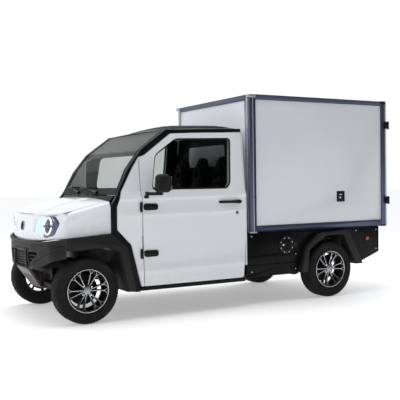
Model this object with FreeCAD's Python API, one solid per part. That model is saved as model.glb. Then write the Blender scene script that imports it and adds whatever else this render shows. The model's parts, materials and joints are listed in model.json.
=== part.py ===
import FreeCAD, Part
import math
import os

# Small electric delivery truck. Millimetres, +X forward, +Y to the left, +Z up.
# The origin is on the ground, under the centre of the bounding box.

os.makedirs("parts", exist_ok=True)

V = FreeCAD.Vector
CLEARANCE = 0.3

# Wheels and axles
FRONT_AXLE_X = 1415
REAR_AXLE_X = -1040
TYRE_RADIUS = 266
WHEEL_CENTRE_Y = 584.5
SPINDLE_RADIUS = 16
STEER_CLEAR_RADIUS = 306

# Overall limits
FRONT_X = 1770
REAR_X = -1770

# Body side: upright up to the shoulder, stepped in at the belt, then leaning in to the roof
SIDE_Y = 684
SHOULDER_Z = 1000
BELT_Y = 662
BELT_Z = 1050
ROOF_EDGE_Y = 618
ROOF_EDGE_Z = 1565
LEAN = (BELT_Y - ROOF_EDGE_Y) / (ROOF_EDGE_Z - BELT_Z)

# Cab
FLOOR_Z = 385
FLOOR_THICKNESS = 5
CAB_REAR_X = -64
REAR_WALL_THICKNESS = 12
FIREWALL_X = 1062
HOOP_DEPTH = 45
SCREEN = [(1160, 1020), (1055, 1225), (925, 1390), (690, 1562)]

# Doors
DOOR_DEPTH = 58
SKIN = 4
DOOR_HINGE_X = 958
DOOR_HINGE_Y = 697
DOOR_HINGE_LEVELS = (881, 498)
PIN_RADIUS = 9
GLASS_SETBACK = 12
GLASS_THICKNESS = 4
HANDLE_X0 = -8
HANDLE_X1 = 217
HANDLE_Z = 940

# Cargo box
BOX_FRONT_X = -114
BOX_REAR_X = -1732
BOX_HALF_WIDTH = 686
BOX_FLOOR_Z = 660
BOX_TOP_Z = 1889
RAIL_WIDTH = 40
TOP_RAIL_Z = 1849
BOTTOM_RAIL_Z = 713
FRONT_POST_X = -175
REAR_POST_X = -1678
FRONT_POST_Y = 614
REAR_POST_Y = 632
PANEL_Y = 678
PANEL_THICKNESS = 24
CARGO_HINGE_X = -1758
CARGO_HINGE_Y = 699
CARGO_DOOR_THICKNESS = 16
CARGO_HINGE_LEVELS = (872, 1616)
STRAP_HEIGHT = 74


def box(x0, x1, y0, y1, z0, z1):
    return Part.makeBox(x1 - x0, y1 - y0, z1 - z0, V(x0, y0, z0))


def corner_edges(points, place):
    """Edges of a closed outline; a third number on a point rounds that corner to this radius."""
    count = len(points)
    arcs = []
    for i in range(count):
        here = V(points[i][0], points[i][1], 0)
        before = V(points[i - 1][0], points[i - 1][1], 0)
        after = V(points[(i + 1) % count][0], points[(i + 1) % count][1], 0)
        radius = points[i][2] if len(points[i]) > 2 else 0
        if radius == 0:
            arcs.append([here])
            continue
        to_before = (before - here).normalize()
        to_after = (after - here).normalize()
        half = to_before.getAngle(to_after) / 2
        reach = radius / math.tan(half)
        middle = (to_before + to_after).normalize() * (radius / math.sin(half) - radius)
        arcs.append([here + to_before * reach, here + middle, here + to_after * reach])
    edges = []
    for i in range(count):
        arc = [place(p.x, p.y) for p in arcs[i]]
        if len(arc) == 3:
            edges.append(Part.Arc(*arc).toShape())
        start = arc[-1]
        end = place(arcs[(i + 1) % count][0].x, arcs[(i + 1) % count][0].y)
        if start.distanceToPoint(end) > 0.01:
            edges.append(Part.makeLine(start, end))
    return edges


def prism(points, axis, low, high):
    """Straight prism along axis, from low to high; points are in the plane across it."""
    places = {
        "x": lambda a, b: V(low, a, b),
        "y": lambda a, b: V(a, low, b),
        "z": lambda a, b: V(a, b, low),
    }
    directions = {"x": V(1, 0, 0), "y": V(0, 1, 0), "z": V(0, 0, 1)}
    wire = Part.Wire(Part.__sortEdges__(corner_edges(points, places[axis])))
    return Part.Face(wire).extrude(directions[axis] * (high - low))


def rod(start, end, radius):
    span = end - start
    return Part.makeCylinder(radius, span.Length, start, span)


def tube(start, end, outer, inner):
    return rod(start, end, outer).cut(rod(start, end, inner))


def mirrored(shape):
    return shape.mirror(V(0, 0, 0), V(0, 1, 0))


def both(shape):
    return [shape, mirrored(shape)]


def fuse(first, *others):
    return first.fuse(list(others)).removeSplitter()


def cut(shape, *tools):
    return shape.cut(list(tools))


def largest(shape):
    return max(shape.Solids, key=lambda solid: solid.Volume)


def save(name, *shapes):
    solids = [solid for shape in shapes for solid in shape.Solids]
    shape = solids[0] if len(solids) == 1 else Part.makeCompound(solids)
    if not shape.isValid() or not solids:
        raise ValueError(name + " is not a sound solid")
    shape.exportStep("parts/" + name + ".step")


def side_y(z):
    """Distance of the body side from the middle at height z."""
    if z <= SHOULDER_Z:
        return SIDE_Y
    if z <= BELT_Z:
        return SIDE_Y - (SIDE_Y - BELT_Y) * (z - SHOULDER_Z) / (BELT_Z - SHOULDER_Z)
    return BELT_Y - LEAN * (z - BELT_Z)


def slab(outer, inner, low=150, high=1750):
    """Layer between two depths behind the left body side."""
    levels = [low, SHOULDER_Z, BELT_Z, high]
    section = [(side_y(z) - outer, z) for z in levels]
    section += [(side_y(z) - inner, z) for z in reversed(levels)]
    return prism(section, "x", -200, 1800)


def side_panel(points, outer, inner):
    return prism(points, "y", 300, 760).common(slab(outer, inner))


def between_sides(depth, x0, x1, z0, z1):
    """Space across the cab, kept this far in from both body sides."""
    levels = [z for z in (z0, SHOULDER_Z, BELT_Z, z1) if z0 <= z <= z1]
    levels = sorted(set(levels))
    right = [(depth - side_y(z), z) for z in levels]
    left = [(side_y(z) - depth, z) for z in reversed(levels)]
    return prism(right + left, "x", x0, x1)


def strip(points, thickness, y0, y1):
    """Bent sheet: the open path is offset downwards and rearwards by the thickness."""
    lower = [(x - 0.75 * thickness, z - 0.66 * thickness) for x, z in reversed(points)]
    return prism(points + lower, "y", y0, y1)


# ---------------------------------------------------------------- chassis and running gear

RAIL_OUTLINE = [(1600, 352), (1600, 432), (1200, 432), (1090, 372), (-560, 372), (-680, 520),
                (-1680, 520), (-1680, 440), (-760, 440), (-640, 292), (1110, 292), (1220, 352)]
RAIL_INNER_Y = 270
RAIL_OUTER_Y = 330
RAIL_WALL = 6
rail = prism(RAIL_OUTLINE, "y", RAIL_INNER_Y, RAIL_OUTER_Y)
rail_corners = [V(x, RAIL_INNER_Y + RAIL_WALL, z) for x, z in RAIL_OUTLINE]
rail_face = Part.Face(Part.makePolygon(rail_corners + rail_corners[:1]))
channel = rail_face.makeOffset2D(-RAIL_WALL).extrude(V(0, RAIL_OUTER_Y, 0))
rails = both(rail.cut(channel))
crossmembers = []
for x, z in ((1555, 372), (1240, 372), (870, 312), (-600, 312), (-820, 460), (-1300, 460), (-1680, 460)):
    crossmembers.append(box(x, x + 40, -RAIL_INNER_Y, RAIL_INNER_Y, z, z + 40))
outriggers = []
for x in (-640, -1560):
    outriggers += both(box(x, x + 14, RAIL_INNER_Y, 595, 521, 655))
outriggers += both(box(-1100, -1086, RAIL_INNER_Y, 460, 521, 655))
outriggers += both(box(-124, -110, RAIL_INNER_Y, 575, 373, 655))
save("chassis_frame", *rails, *crossmembers, *outriggers)

save("battery_pack", prism([(830, 214, 20), (830, 360, 20), (-540, 360, 20), (-540, 214, 20)], "y",
                           -262, 262))


def across(x, y):
    """Point on the axle line at x."""
    return V(x, y, TYRE_RADIUS)


axle_tube = rod(across(REAR_AXLE_X, -478), across(REAR_AXLE_X, 478), 38)
motor = rod(across(REAR_AXLE_X + 30, -150), across(REAR_AXLE_X + 30, 130), 105)
drums = [rod(across(REAR_AXLE_X, 478), across(REAR_AXLE_X, 545), 104)]
drums.append(mirrored(drums[0]))
spindles = [rod(across(REAR_AXLE_X, 545), across(REAR_AXLE_X, 596), SPINDLE_RADIUS)]
spindles.append(mirrored(spindles[0]))
spring_seats = both(box(REAR_AXLE_X - 45, REAR_AXLE_X + 45, 400, 450, 280, 309))
save("rear_axle", fuse(axle_tube, motor, *drums, *spindles, *spring_seats))

SPRING_Z = 336
SPRING_HALF_LENGTH = 350
SPRING_RISE = 78
spring_parts = []
for step in range(3):
    half = SPRING_HALF_LENGTH - 90 * step
    rise = SPRING_RISE * half / SPRING_HALF_LENGTH
    top = SPRING_Z - 9 * step
    leaf = [(REAR_AXLE_X - half, top + rise), (REAR_AXLE_X, top), (REAR_AXLE_X + half, top + rise)]
    leaf += [(x, z - 8.6) for x, z in reversed(leaf)]
    spring_parts.append(prism(leaf, "y", 400, 450))
for x in (REAR_AXLE_X - SPRING_HALF_LENGTH, REAR_AXLE_X + SPRING_HALF_LENGTH - 25):
    spring_parts.append(box(x, x + 25, RAIL_OUTER_Y, 450, 415, 470))
arms = both(prism([(1300, 250), (1530, 250), (1440, 452), (1390, 452)], "z", 206, 236))
subframe = box(1340, 1490, -250, 250, 200, 250)
strut = fuse(rod(V(1415, 425, 236), V(1415, 425, 470), 20), rod(V(1415, 425, 420), V(1415, 425, 584), 38))
save("suspension", subframe, *arms, *both(strut), *[side for part in spring_parts for side in both(part)])

# ---------------------------------------------------------------- wheels


def wheel_profile(points, x):
    """Ring about the wheel's own axis; points are (distance along Y from its centre, radius)."""
    corners = [V(x, WHEEL_CENTRE_Y + along, TYRE_RADIUS + radius) for along, radius in points]
    face = Part.Face(Part.makePolygon(corners + corners[:1]))
    return face.revolve(V(x, 0, TYRE_RADIUS), V(0, 1, 0), 360)


TYRE_SECTION = [(-62, 166.3), (-72, 190), (-77.5, 222), (-74, 248), (-62, 262), (-40, 266),
                (40, 266), (62, 262), (74, 248), (77.5, 222), (72, 190), (62, 166.3),
                (48, 166.3), (58, 192), (62, 222), (58, 242), (40, 252),
                (-40, 252), (-58, 242), (-62, 222), (-58, 192), (-48, 166.3)]
RIM_SECTION = [(-66, 174), (-71, 174), (-71, 166), (-66, 160), (-30, 146), (20, 146), (46, 158),
               (71, 166), (74, 176), (68, 176), (65, 166), (48, 166), (30, 152), (-30, 152),
               (-48, 166), (-64.5, 166)]
HUB_RADIUS = 58
HUB_BORE_RADIUS = SPINDLE_RADIUS + CLEARANCE
SPOKE_COUNT = 12


def wheel(x):
    barrel = wheel_profile(RIM_SECTION, x)
    centre = V(x, WHEEL_CENTRE_Y, TYRE_RADIUS)
    hub = Part.makeCylinder(HUB_RADIUS, 40, centre + V(0, -30, 0), V(0, 1, 0))
    cap = Part.makeCylinder(34, 20, centre + V(0, 34, 0), V(0, 1, 0))
    spokes = []
    for i in range(SPOKE_COUNT):
        pair_shift = 6.5 if i % 2 else -6.5
        spoke = prism([(-7, 38), (7, 38), (5, 157), (-5, 157)], "y", 39, 50)
        spoke = spoke.translated(V(0, WHEEL_CENTRE_Y, 0))
        spoke.rotate(V(0, 0, 0), V(0, 1, 0), i * 360 / SPOKE_COUNT + pair_shift)
        spokes.append(spoke.translated(V(x, 0, TYRE_RADIUS)))
    nave = Part.makeCone(HUB_RADIUS, 42, 36, centre + V(0, 10, 0), V(0, 1, 0))
    rim = fuse(barrel, hub, nave, cap, *spokes)
    bore = Part.makeCylinder(HUB_BORE_RADIUS, 46, centre + V(0, -32, 0), V(0, 1, 0))
    tyre = wheel_profile(TYRE_SECTION, x)
    return tyre, rim.cut(bore)


for place, x in (("front", FRONT_AXLE_X), ("rear", REAR_AXLE_X)):
    tyre, rim = wheel(x)
    save("tyre_" + place + "_left", tyre)
    save("rim_" + place + "_left", rim)
    save("tyre_" + place + "_right", mirrored(tyre))
    save("rim_" + place + "_right", mirrored(rim))

upright = prism([(1388, 196, 8), (1442, 196, 8), (1448, 330, 8), (1382, 330, 8)], "y", 466, 500)
brake = rod(across(FRONT_AXLE_X, 500), across(FRONT_AXLE_X, 545), 104)
front_spindle = rod(across(FRONT_AXLE_X, 545), across(FRONT_AXLE_X, 596), SPINDLE_RADIUS)
knuckle = fuse(upright, brake, front_spindle)
save("knuckle_left", knuckle)
save("knuckle_right", mirrored(knuckle))

wheel_clear = rod(across(FRONT_AXLE_X, 372), across(FRONT_AXLE_X, 760), STEER_CLEAR_RADIUS)
wheel_clears = both(wheel_clear)

# ---------------------------------------------------------------- cab structure

floor = box(CAB_REAR_X, FIREWALL_X, -616, 616, FLOOR_Z, FLOOR_Z + FLOOR_THICKNESS)
firewall = between_sides(HOOP_DEPTH + 16, FIREWALL_X, FIREWALL_X + 5, FLOOR_Z, 985)
RISER_TOP = 590
riser = box(10, 470, -560, 560, FLOOR_Z + FLOOR_THICKNESS, RISER_TOP)
riser = riser.cut(box(15, 465, -555, 555, FLOOR_Z, RISER_TOP - 5))
save("cab_tub", floor, firewall, riser)

# Three seats side by side, each with a tall tapered back
SEAT_PITCH = 375
SEAT_HALF_WIDTH = 172
cushion_profile = [(60, 591), (500, 591, 20), (520, 690, 45), (60, 664, 30)]
cushion = prism(cushion_profile, "y", -SEAT_HALF_WIDTH, SEAT_HALF_WIDTH)
seat_profile = [(62, 668), (150, 668, 30), (45, 1110, 60), (6, 1352, 22), (-56, 1352, 22),
                (-60, 1110, 60)]
back_half = [(SEAT_HALF_WIDTH, 640), (SEAT_HALF_WIDTH, 1085, 60), (130, 1200, 80), (84, 1352, 40)]
back_outline = back_half + [(-point[0], *point[1:]) for point in reversed(back_half)]
seat_back = prism(seat_profile, "y", -SEAT_HALF_WIDTH, SEAT_HALF_WIDTH)
seat_back = seat_back.common(prism(back_outline, "x", -120, 300))
head_hole = prism([(-38, 1160, 16), (38, 1160, 16), (30, 1216, 16), (-30, 1216, 16)], "x", -120, 300)
seat_back = seat_back.cut(head_hole)
seat_places = [V(0, step * SEAT_PITCH, 0) for step in (-1, 0, 1)]
save("seat_cushions", *[cushion.translated(place) for place in seat_places])
save("seat_backs", *[seat_back.translated(place) for place in seat_places])

DASH_OUTLINE = [(1058, 760), (1058, 985), (1000, 990, 20), (820, 958, 50), (800, 860, 40),
                (850, 760, 30)]
dash = between_sides(HOOP_DEPTH + 20, 780, 1060, 740, 1000).common(
    prism(DASH_OUTLINE, "y", -700, 700))
STEER_CENTRE = V(700, 355, 960)
STEER_AXIS = V(-0.8, 0, 0.6)
column = rod(STEER_CENTRE - STEER_AXIS * 34, STEER_CENTRE - STEER_AXIS * 190, 34)
save("dashboard", fuse(dash, column))

wheel_ring = Part.makeTorus(178, 14, STEER_CENTRE, STEER_AXIS)
boss = Part.makeCylinder(56, 34, STEER_CENTRE - STEER_AXIS * 33, STEER_AXIS)
arms_flat = []
for angle in (0, 90, 180):
    arm = box(40, 172, -16, 16, -10, 2)
    arm.rotate(V(0, 0, 0), V(0, 0, 1), angle)
    turn = FreeCAD.Rotation(V(0, 0, 1), STEER_AXIS)
    arm.Placement = FreeCAD.Placement(STEER_CENTRE, turn).multiply(arm.Placement)
    arms_flat.append(arm)
save("steering_wheel", fuse(wheel_ring, boss, *arms_flat))


def pedal(y0, y1):
    stalk = prism([(1040, 690), (1024, 700), (955, 500), (971, 492)], "y", (y0 + y1) / 2 - 7,
                  (y0 + y1) / 2 + 7)
    pad = prism([(982, 508), (966, 516), (936, 446), (952, 438)], "y", y0, y1)
    pivot = rod(V(1034, (y0 + y1) / 2 - 20, 698), V(1034, (y0 + y1) / 2 + 20, 698), 14)
    return fuse(stalk, pad, pivot)


save("brake_pedal", pedal(285, 365))
save("accelerator_pedal", pedal(190, 240))

# Black hoops: lower front corner, windscreen pillar and roof rail on each side
hoop_outer = [(1016, 226), (1118, 626, 30), (1210, 719, 30), (1210, 944, 20)] + SCREEN
hoop_outer += [(-60, 1586)]
hoop_inner = [(-60, 1559), (647, 1534, 60), (902, 1348), (955, 1330), (1008, 1255), (1123, 1052, 40),
              (1170, 924, 30), (1172, 739, 30), (1050, 613, 30), (970, 226)]
save("cab_hoops", *both(side_panel(hoop_outer + hoop_inner, 0, HOOP_DEPTH)))

quarter = [(938, 268), (960, 268), (1048, 615, 30), (1169, 742, 30), (1167, 924, 30),
           (1120, 1052, 40), (1005, 1254), (955, 1327)]
save("quarter_panels", *both(side_panel(quarter, 0, 22)))

rear_wall = between_sides(4, CAB_REAR_X - REAR_WALL_THICKNESS, CAB_REAR_X - 2, 374, 1583)
rear_opening = prism([(-360, 1255, 30), (360, 1255, 30), (345, 1465, 30), (-345, 1465, 30)], "x",
                     CAB_REAR_X - 60, CAB_REAR_X + 10)
save("cab_rear_wall", rear_wall.cut(rear_opening))

rear_glass = prism([(-359.5, 1255.5, 30), (359.5, 1255.5, 30), (344.5, 1464.5, 30),
                    (-344.5, 1464.5, 30)], "x", CAB_REAR_X - 9, CAB_REAR_X - 5)
screen_band = strip(SCREEN, 6, -700, 700)
screen_space = between_sides(HOOP_DEPTH + 1, 600, 1200, 1000, 1600)
save("cab_glazing", screen_band.common(screen_space), rear_glass)

# Roof: crowned across, rising behind the front lip
roof_sections = []
for x, edge, crown in ((692, 1561, 1568), (600, 1566, 1592), (420, 1571, 1628), (150, 1578, 1636),
                       (-60, 1584, 1640)):
    half = side_y(edge) - HOOP_DEPTH - 1
    top = Part.Arc(V(x, -half, edge), V(x, 0, crown), V(x, half, edge)).toShape()
    under = Part.Arc(V(x, half, edge - 4), V(x, 0, crown - 6), V(x, -half, edge - 4)).toShape()
    sides = [Part.makeLine(V(x, half, edge), V(x, half, edge - 4)),
             Part.makeLine(V(x, -half, edge - 4), V(x, -half, edge))]
    roof_sections.append(Part.Wire([top, sides[0], under, sides[1]]))
roof = Part.makeLoft(roof_sections, True, True)
roof = roof.common(between_sides(HOOP_DEPTH + 1, -60, 700, 1500, 1700))
screen_under = strip(SCREEN, 7, -700, 700)
save("roof_panel", roof.cut(screen_under))

# ---------------------------------------------------------------- nose

NOSE_REAR_X = 1214
NOSE_HALF_WIDTH = 668


def nose(inset):
    """Solid block of the whole nose, shrunk by inset on its outside faces."""
    wires = []
    for x, half, edge, crown in ((1100, 668, 1000, 1026), (1214, 668, 966, 1000),
                                 (1451, 668, 905, 966), (1600, 668, 871, 926),
                                 (1800, 668, 826, 850)):
        half -= inset
        low = 560
        top = Part.Arc(V(x, -half, edge - inset), V(x, 0, crown - inset), V(x, half, edge - inset))
        corners = [V(x, half, edge - inset), V(x, half, low), V(x, -half, low),
                   V(x, -half, edge - inset)]
        wires.append(Part.Wire([top.toShape()] + Part.makePolygon(corners).Edges))
    body = Part.makeLoft(wires, True, True)
    w = NOSE_HALF_WIDTH + 20 - inset
    plan = [(1000, -w), (1560 - inset, -w, 40), (1668 - inset, -560, 90), (1732 - inset, -280, 300),
            (1748 - inset, 0, 900), (1732 - inset, 280, 300), (1668 - inset, 560, 90),
            (1560 - inset, w, 40), (1000, w)]
    front = [(1000, 500), (1756 - inset, 500), (1752 - inset, 640), (1742 - inset, 740),
             (1722 - inset, 862, 20), (1690 - inset, 905), (1500, 1200), (1000, 1200)]
    return body.common(prism(plan, "z", 400, 1300)).common(prism(front, "y", -800, 800))


nose_full = nose(0)
HOOD_PLAN = [(1217, -596), (1560, -596, 20), (1660, -510, 60), (1720, 0, 1500), (1660, 510, 60),
             (1560, 596, 20), (1217, 596)]
hood_gap = [(1100, -599), (1561, -599, 20), (1663, -512, 60), (1723.5, 0, 1500), (1663, 512, 60),
            (1561, 599, 20), (1100, 599)]
hood_column = prism(HOOD_PLAN, "z", 840, 1200)
HOOD_FRONT_CUT = 868
hood_shell = nose_full.cut(nose(7)).common(hood_column)
hood_shell = hood_shell.cut(box(1550, 1900, -700, 700, 500, HOOD_FRONT_CUT))
save("hood", largest(hood_shell))

LAMP_OUTLINE = [(272, 722, 10), (282, 826, 14), (340, 850, 14), (540, 862, 14), (596, 806, 12),
                (562, 712, 12), (470, 694, 12)]
LAMP_INNER = [(273, 723, 10), (283, 825, 14), (340, 849, 14), (539.5, 861, 14), (594.8, 806, 12),
              (561.2, 713, 12), (470, 695, 12)]
lamp_holes = both(prism(LAMP_OUTLINE, "x", 1500, 1800))
clip = nose_full.cut(nose(22)).cut(prism(hood_gap, "z", HOOD_FRONT_CUT - 2, 1300))
clip = clip.cut(box(900, NOSE_REAR_X, -800, 800, 400, 1300)).cut(box(900, 2000, -800, 800, 400, 652))
arch_space = prism([(1100, 400), (1100, 713), (1222, 713), (1640, 686), (1700, 650), (1700, 400)], "y",
                   380, 800)
clip = cut(clip, *lamp_holes, *both(arch_space))
save("front_clip", largest(clip))

lamp_space = prism(LAMP_INNER, "x", 1450, 1800)
bucket = nose(34).cut(nose(60)).common(lamp_space)
ring = tube(V(1560, 458, 778), V(1760, 458, 778), 74, 60).common(nose(9)).cut(nose(36))
save("headlight_housings", *both(fuse(largest(bucket), ring)))
lens = nose(2).cut(nose(6)).common(lamp_space)
save("headlight_lenses", *both(largest(lens)))

cowl = prism([(NOSE_REAR_X - 3, 964), (NOSE_REAR_X - 26, 984), (1164, 1014), (1080, 1008),
              (1080, 996), (1150, 990), (1186, 960)], "y", -596, 596)
cowl = cowl.cut(strip(SCREEN, 8, -700, 700))
save("cowl_panel", largest(cowl))

# ---------------------------------------------------------------- front bumper and flares


def bumper_block(inset, low=380, high=650):
    w = 690 - inset
    plan = [(1380, -w), (1560 - inset, -w, 60), (1690 - inset, -560, 100), (1756 - inset, -280, 250),
            (FRONT_X - inset, 0, 900), (1756 - inset, 280, 250), (1690 - inset, 560, 100),
            (1560 - inset, w, 60), (1380, w)]
    front = [(1300, low), (1735 - inset, low), (1752 - inset, 440), (FRONT_X - inset, 570, 30),
             (FRONT_X - 4 - inset, high), (1300, high)]
    return prism(plan, "z", low, high).common(prism(front, "y", -800, 800))


bumper_shell = bumper_block(0).cut(bumper_block(26, 300, 800))
BUMPER_FACE = [(-168, 424), (168, 424), (212, 436, 10), (500, 560, 30), (645, 600), (645, 650),
               (-645, 650), (-645, 600), (-500, 560, 30), (-212, 436, 10)]
grille_hole = prism([(-158, 432, 12), (158, 432, 12), (136, 568, 12), (-136, 568, 12)], "x", 1500, 1800)
VENT = [(226, 462, 8), (196, 568, 8), (390, 568, 12)]
vent_hole = prism(VENT, "x", 1500, 1800)
bumper = bumper_shell.common(prism(BUMPER_FACE, "x", 1380, 1800))
bumper = cut(bumper, grille_hole, *both(vent_hole), *wheel_clears)
bumper = bumper.common(box(1585, 1800, -700, 700, 380, 649.5))
save("front_bumper", largest(bumper))

mesh_plate = bumper_block(8, 430, 572).cut(bumper_block(18, 300, 800))
mesh_plate = mesh_plate.common(prism([(-157, 432.6, 12), (157, 432.6, 12), (135.3, 567.4, 12),
                                      (-135.3, 567.4, 12)], "x", 1500, 1800))
holes = []
HEX_RADIUS = 9
for row in range(6):
    for column_index in range(-6, 7):
        y = column_index * 20 + (10 if row % 2 else 0)
        z = 445 + row * 21
        limit = 148 - (z - 432) * 22 / 136 - HEX_RADIUS - 6
        if abs(y) > limit:
            continue
        cell = [(y + HEX_RADIUS * math.sin(math.radians(60 * k)),
                 z + HEX_RADIUS * math.cos(math.radians(60 * k))) for k in range(6)]
        holes.append(prism(cell, "x", 1600, 1800))
mesh_plate = mesh_plate.cut(holes)
slats = []
for z in (540, 512, 484):
    slat = bumper_block(10, 380, 650).cut(bumper_block(22, 300, 800))
    slat = slat.common(box(1500, 1800, 180, 400, z - 5, z + 5))
    slat = slat.common(prism([(226, 463, 8), (196.5, 567.4, 8), (389, 567.4, 12)], "x", 1500, 1800))
    slats += both(slat)
save("bumper_grille", mesh_plate, *slats)

skid_profile = [(1745, 423), (1752, 418), (1640, 252, 12), (1560, 240), (1560, 248), (1630, 262, 12),
                (1728, 423)]
skid = prism(skid_profile, "y", -168, 168)
for y in (-108, -46, 16, 78):
    slot = prism([(1640, y, 8), (1640, y + 30, 8), (1715, y + 30, 8), (1715, y, 8)], "z", 200, 500)
    skid = skid.cut(slot)
skid = skid.cut(both(prism([(168.5, 180), (118, 180), (168.5, 423)], "x", 1400, 1800)))
save("skid_plate", skid)

# Flares: an angular band on each side, with a liner round the wheel
FLARE_OUTER = [(1602, 682), (1222, 711), (1092, 599), (1063, 482), (1018, 232)]
FLARE_INNER = [(1083, 236), (1126, 450), (1151, 567, 30), (1224, 617, 30), (1602, 594)]
band = prism(FLARE_OUTER + FLARE_INNER, "y", 686, 700)
hoop_shadow = prism([(900, 200), (900, 1000), (1230, 1000), (1230, 716), (1125, 618), (1024, 226)], "y",
                    600, 686)
band_back = prism(FLARE_OUTER + FLARE_INNER, "y", 646, 687).cut(hoop_shadow)
SWEEP = [(222, 424), (330, 440, 40), (520, 500, 60), (760, 560), (760, 684), (646, 684),
         (646, 598), (500, 557, 30), (214, 433)]
sweep = bumper_block(0, 380, 712).cut(bumper_block(40, 300, 800)).common(prism(SWEEP, "x", 1500, 1800))
LINER = [(1083, 236), (1126, 450), (1151, 567), (1224, 617), (1560, 597), (1560, 589), (1230, 607),
         (1160, 560), (1134, 448), (1091, 236)]
liner = prism(LINER, "y", 392, 687)
front_flare = fuse(band, band_back, liner)
sweep = largest(cut(sweep, box(1300, 1590, 0, 800, 300, 800), wheel_clear, bumper, front_flare))
REAR_FLARE_OUTER = [(-668, 262), (-731, 503, 40), (-872, 621, 50), (-1242, 644, 60), (-1418, 300)]
REAR_FLARE_INNER = [(-1336, 300), (-1178, 597, 50), (-964, 593, 50), (-767, 473, 40), (-744, 262)]
rear_flare = prism(REAR_FLARE_OUTER + REAR_FLARE_INNER, "y", 646, 692)
REAR_LINER = [(-744, 262), (-767, 473), (-964, 593), (-1178, 597), (-1336, 300), (-1343, 300),
              (-1184, 604), (-962, 600), (-760, 478), (-736, 262)]
rear_liner = prism(REAR_LINER, "y", 470, 646)
save("wheel_arches", *both(front_flare), *both(sweep), *both(fuse(rear_flare, rear_liner)))

# ---------------------------------------------------------------- lower body

sill_section = [(684, 262), (619, 262), (619, 384), (582, 384), (582, 230), (676, 230)]
save("sills", *both(prism(sill_section, "x", -60, 966)))

BED_OUTLINE = [(-92, 655), (-92, 252, 10), (-664, 252, 10), (-736, 478), (-962, 603),
               (-1190, 607), (-1345, 300), (-1405, 300, 10), (-1676, 399, 10), (-1676, 655)]
COVER_CENTRE = V(-531, 642, 524)
COVER_RADIUS = 82
bed = prism(BED_OUTLINE, "y", 600, 640)
rib = prism([(-100, 440), (-100, 366), (-600, 366), (-640, 440)], "y", 640, 648)
collar = tube(COVER_CENTRE - V(0, 4, 0), COVER_CENTRE + V(0, 6, 0), COVER_RADIUS + 14, COVER_RADIUS + 2)
pocket = rod(COVER_CENTRE - V(0, 20, 0), COVER_CENTRE + V(0, 20, 0), COVER_RADIUS - 18)
lug_notch = box(-645, -600, 640, 660, 498, 550)
save("bed_sides", cut(fuse(bed, rib, collar), pocket, lug_notch), mirrored(fuse(bed, rib)))

cover = rod(COVER_CENTRE - V(0, 1.5, 0), COVER_CENTRE + V(0, 9, 0), COVER_RADIUS)
knuckle_lug = box(COVER_CENTRE.x - 104, COVER_CENTRE.x - 76, 644, 654, 504, 544)
lug_pin = rod(V(COVER_CENTRE.x - 103, 651, 500), V(COVER_CENTRE.x - 103, 651, 548), 7)
save("charge_cover", fuse(cover, knuckle_lug, lug_pin))

beam = prism([(-1682, -600), (-1682, 600), (-1706, 600, 10), (REAR_X, 500), (REAR_X, -500),
              (-1706, -600, 10)], "z", 470, 610)
lamp_pockets = both(box(-1790, -1752, 380, 490, 500, 580))
save("rear_bumper", cut(beam, *lamp_pockets))
tail_lamp = box(-1768, -1752.4, 381, 489, 501, 579)
side_lamp = rod(V(-1517, 640.2, 538), V(-1517, 652, 538), 20)
save("marker_lamps", *both(tail_lamp), *both(side_lamp))

# ---------------------------------------------------------------- cargo box

side_top = box(REAR_POST_X, FRONT_POST_X, BOX_HALF_WIDTH - RAIL_WIDTH, BOX_HALF_WIDTH, TOP_RAIL_Z,
               BOX_TOP_Z)
side_bottom = box(REAR_POST_X, FRONT_POST_X, BOX_HALF_WIDTH - RAIL_WIDTH, BOX_HALF_WIDTH,
                  BOX_FLOOR_Z, BOTTOM_RAIL_Z)
front_post = prism([(BOX_FRONT_X, FRONT_POST_Y), (BOX_FRONT_X, BOX_HALF_WIDTH, 44),
                    (FRONT_POST_X, BOX_HALF_WIDTH), (FRONT_POST_X, FRONT_POST_Y)], "z", BOX_FLOOR_Z,
                   BOX_TOP_Z)
rear_post = box(BOX_REAR_X, REAR_POST_X, REAR_POST_Y, BOX_HALF_WIDTH, BOX_FLOOR_Z, BOX_TOP_Z)
front_top = box(BOX_FRONT_X - RAIL_WIDTH, BOX_FRONT_X, -FRONT_POST_Y, FRONT_POST_Y, 1842, BOX_TOP_Z)
front_bottom = box(BOX_FRONT_X - RAIL_WIDTH, BOX_FRONT_X, -FRONT_POST_Y, FRONT_POST_Y, BOX_FLOOR_Z,
                   BOTTOM_RAIL_Z)
rear_top = box(BOX_REAR_X, BOX_REAR_X + RAIL_WIDTH, -REAR_POST_Y, REAR_POST_Y, 1842, BOX_TOP_Z)
rear_bottom = box(BOX_REAR_X, BOX_REAR_X + RAIL_WIDTH, -REAR_POST_Y, REAR_POST_Y, BOX_FLOOR_Z, 690)
save("box_frame", *both(side_top), *both(side_bottom), *both(front_post), *both(rear_post),
     front_top, front_bottom, rear_top, rear_bottom)

LATCH_X0 = -1195
LATCH_X1 = -1120
LATCH_Z0 = 920
LATCH_Z1 = 1000
side_wall = box(REAR_POST_X, FRONT_POST_X, PANEL_Y - PANEL_THICKNESS, PANEL_Y, BOTTOM_RAIL_Z, TOP_RAIL_Z)
latch_pocket = box(LATCH_X0 - 5, LATCH_X1 + 5, PANEL_Y - 14, PANEL_Y + 5, LATCH_Z0 - 5, LATCH_Z1 + 5)
front_wall = box(-142, -120, -FRONT_POST_Y, FRONT_POST_Y, BOTTOM_RAIL_Z, 1842)
box_roof = box(BOX_REAR_X + RAIL_WIDTH, BOX_FRONT_X - RAIL_WIDTH, -REAR_POST_Y + 18, REAR_POST_Y - 18,
               1860, 1884)
save("box_panels", side_wall.cut(latch_pocket), mirrored(side_wall), front_wall, box_roof)
load_floor = box(BOX_REAR_X + RAIL_WIDTH, BOX_FRONT_X - RAIL_WIDTH, -REAR_POST_Y + 18,
                 REAR_POST_Y - 18, 662, 688)
save("box_floor", load_floor)

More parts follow.
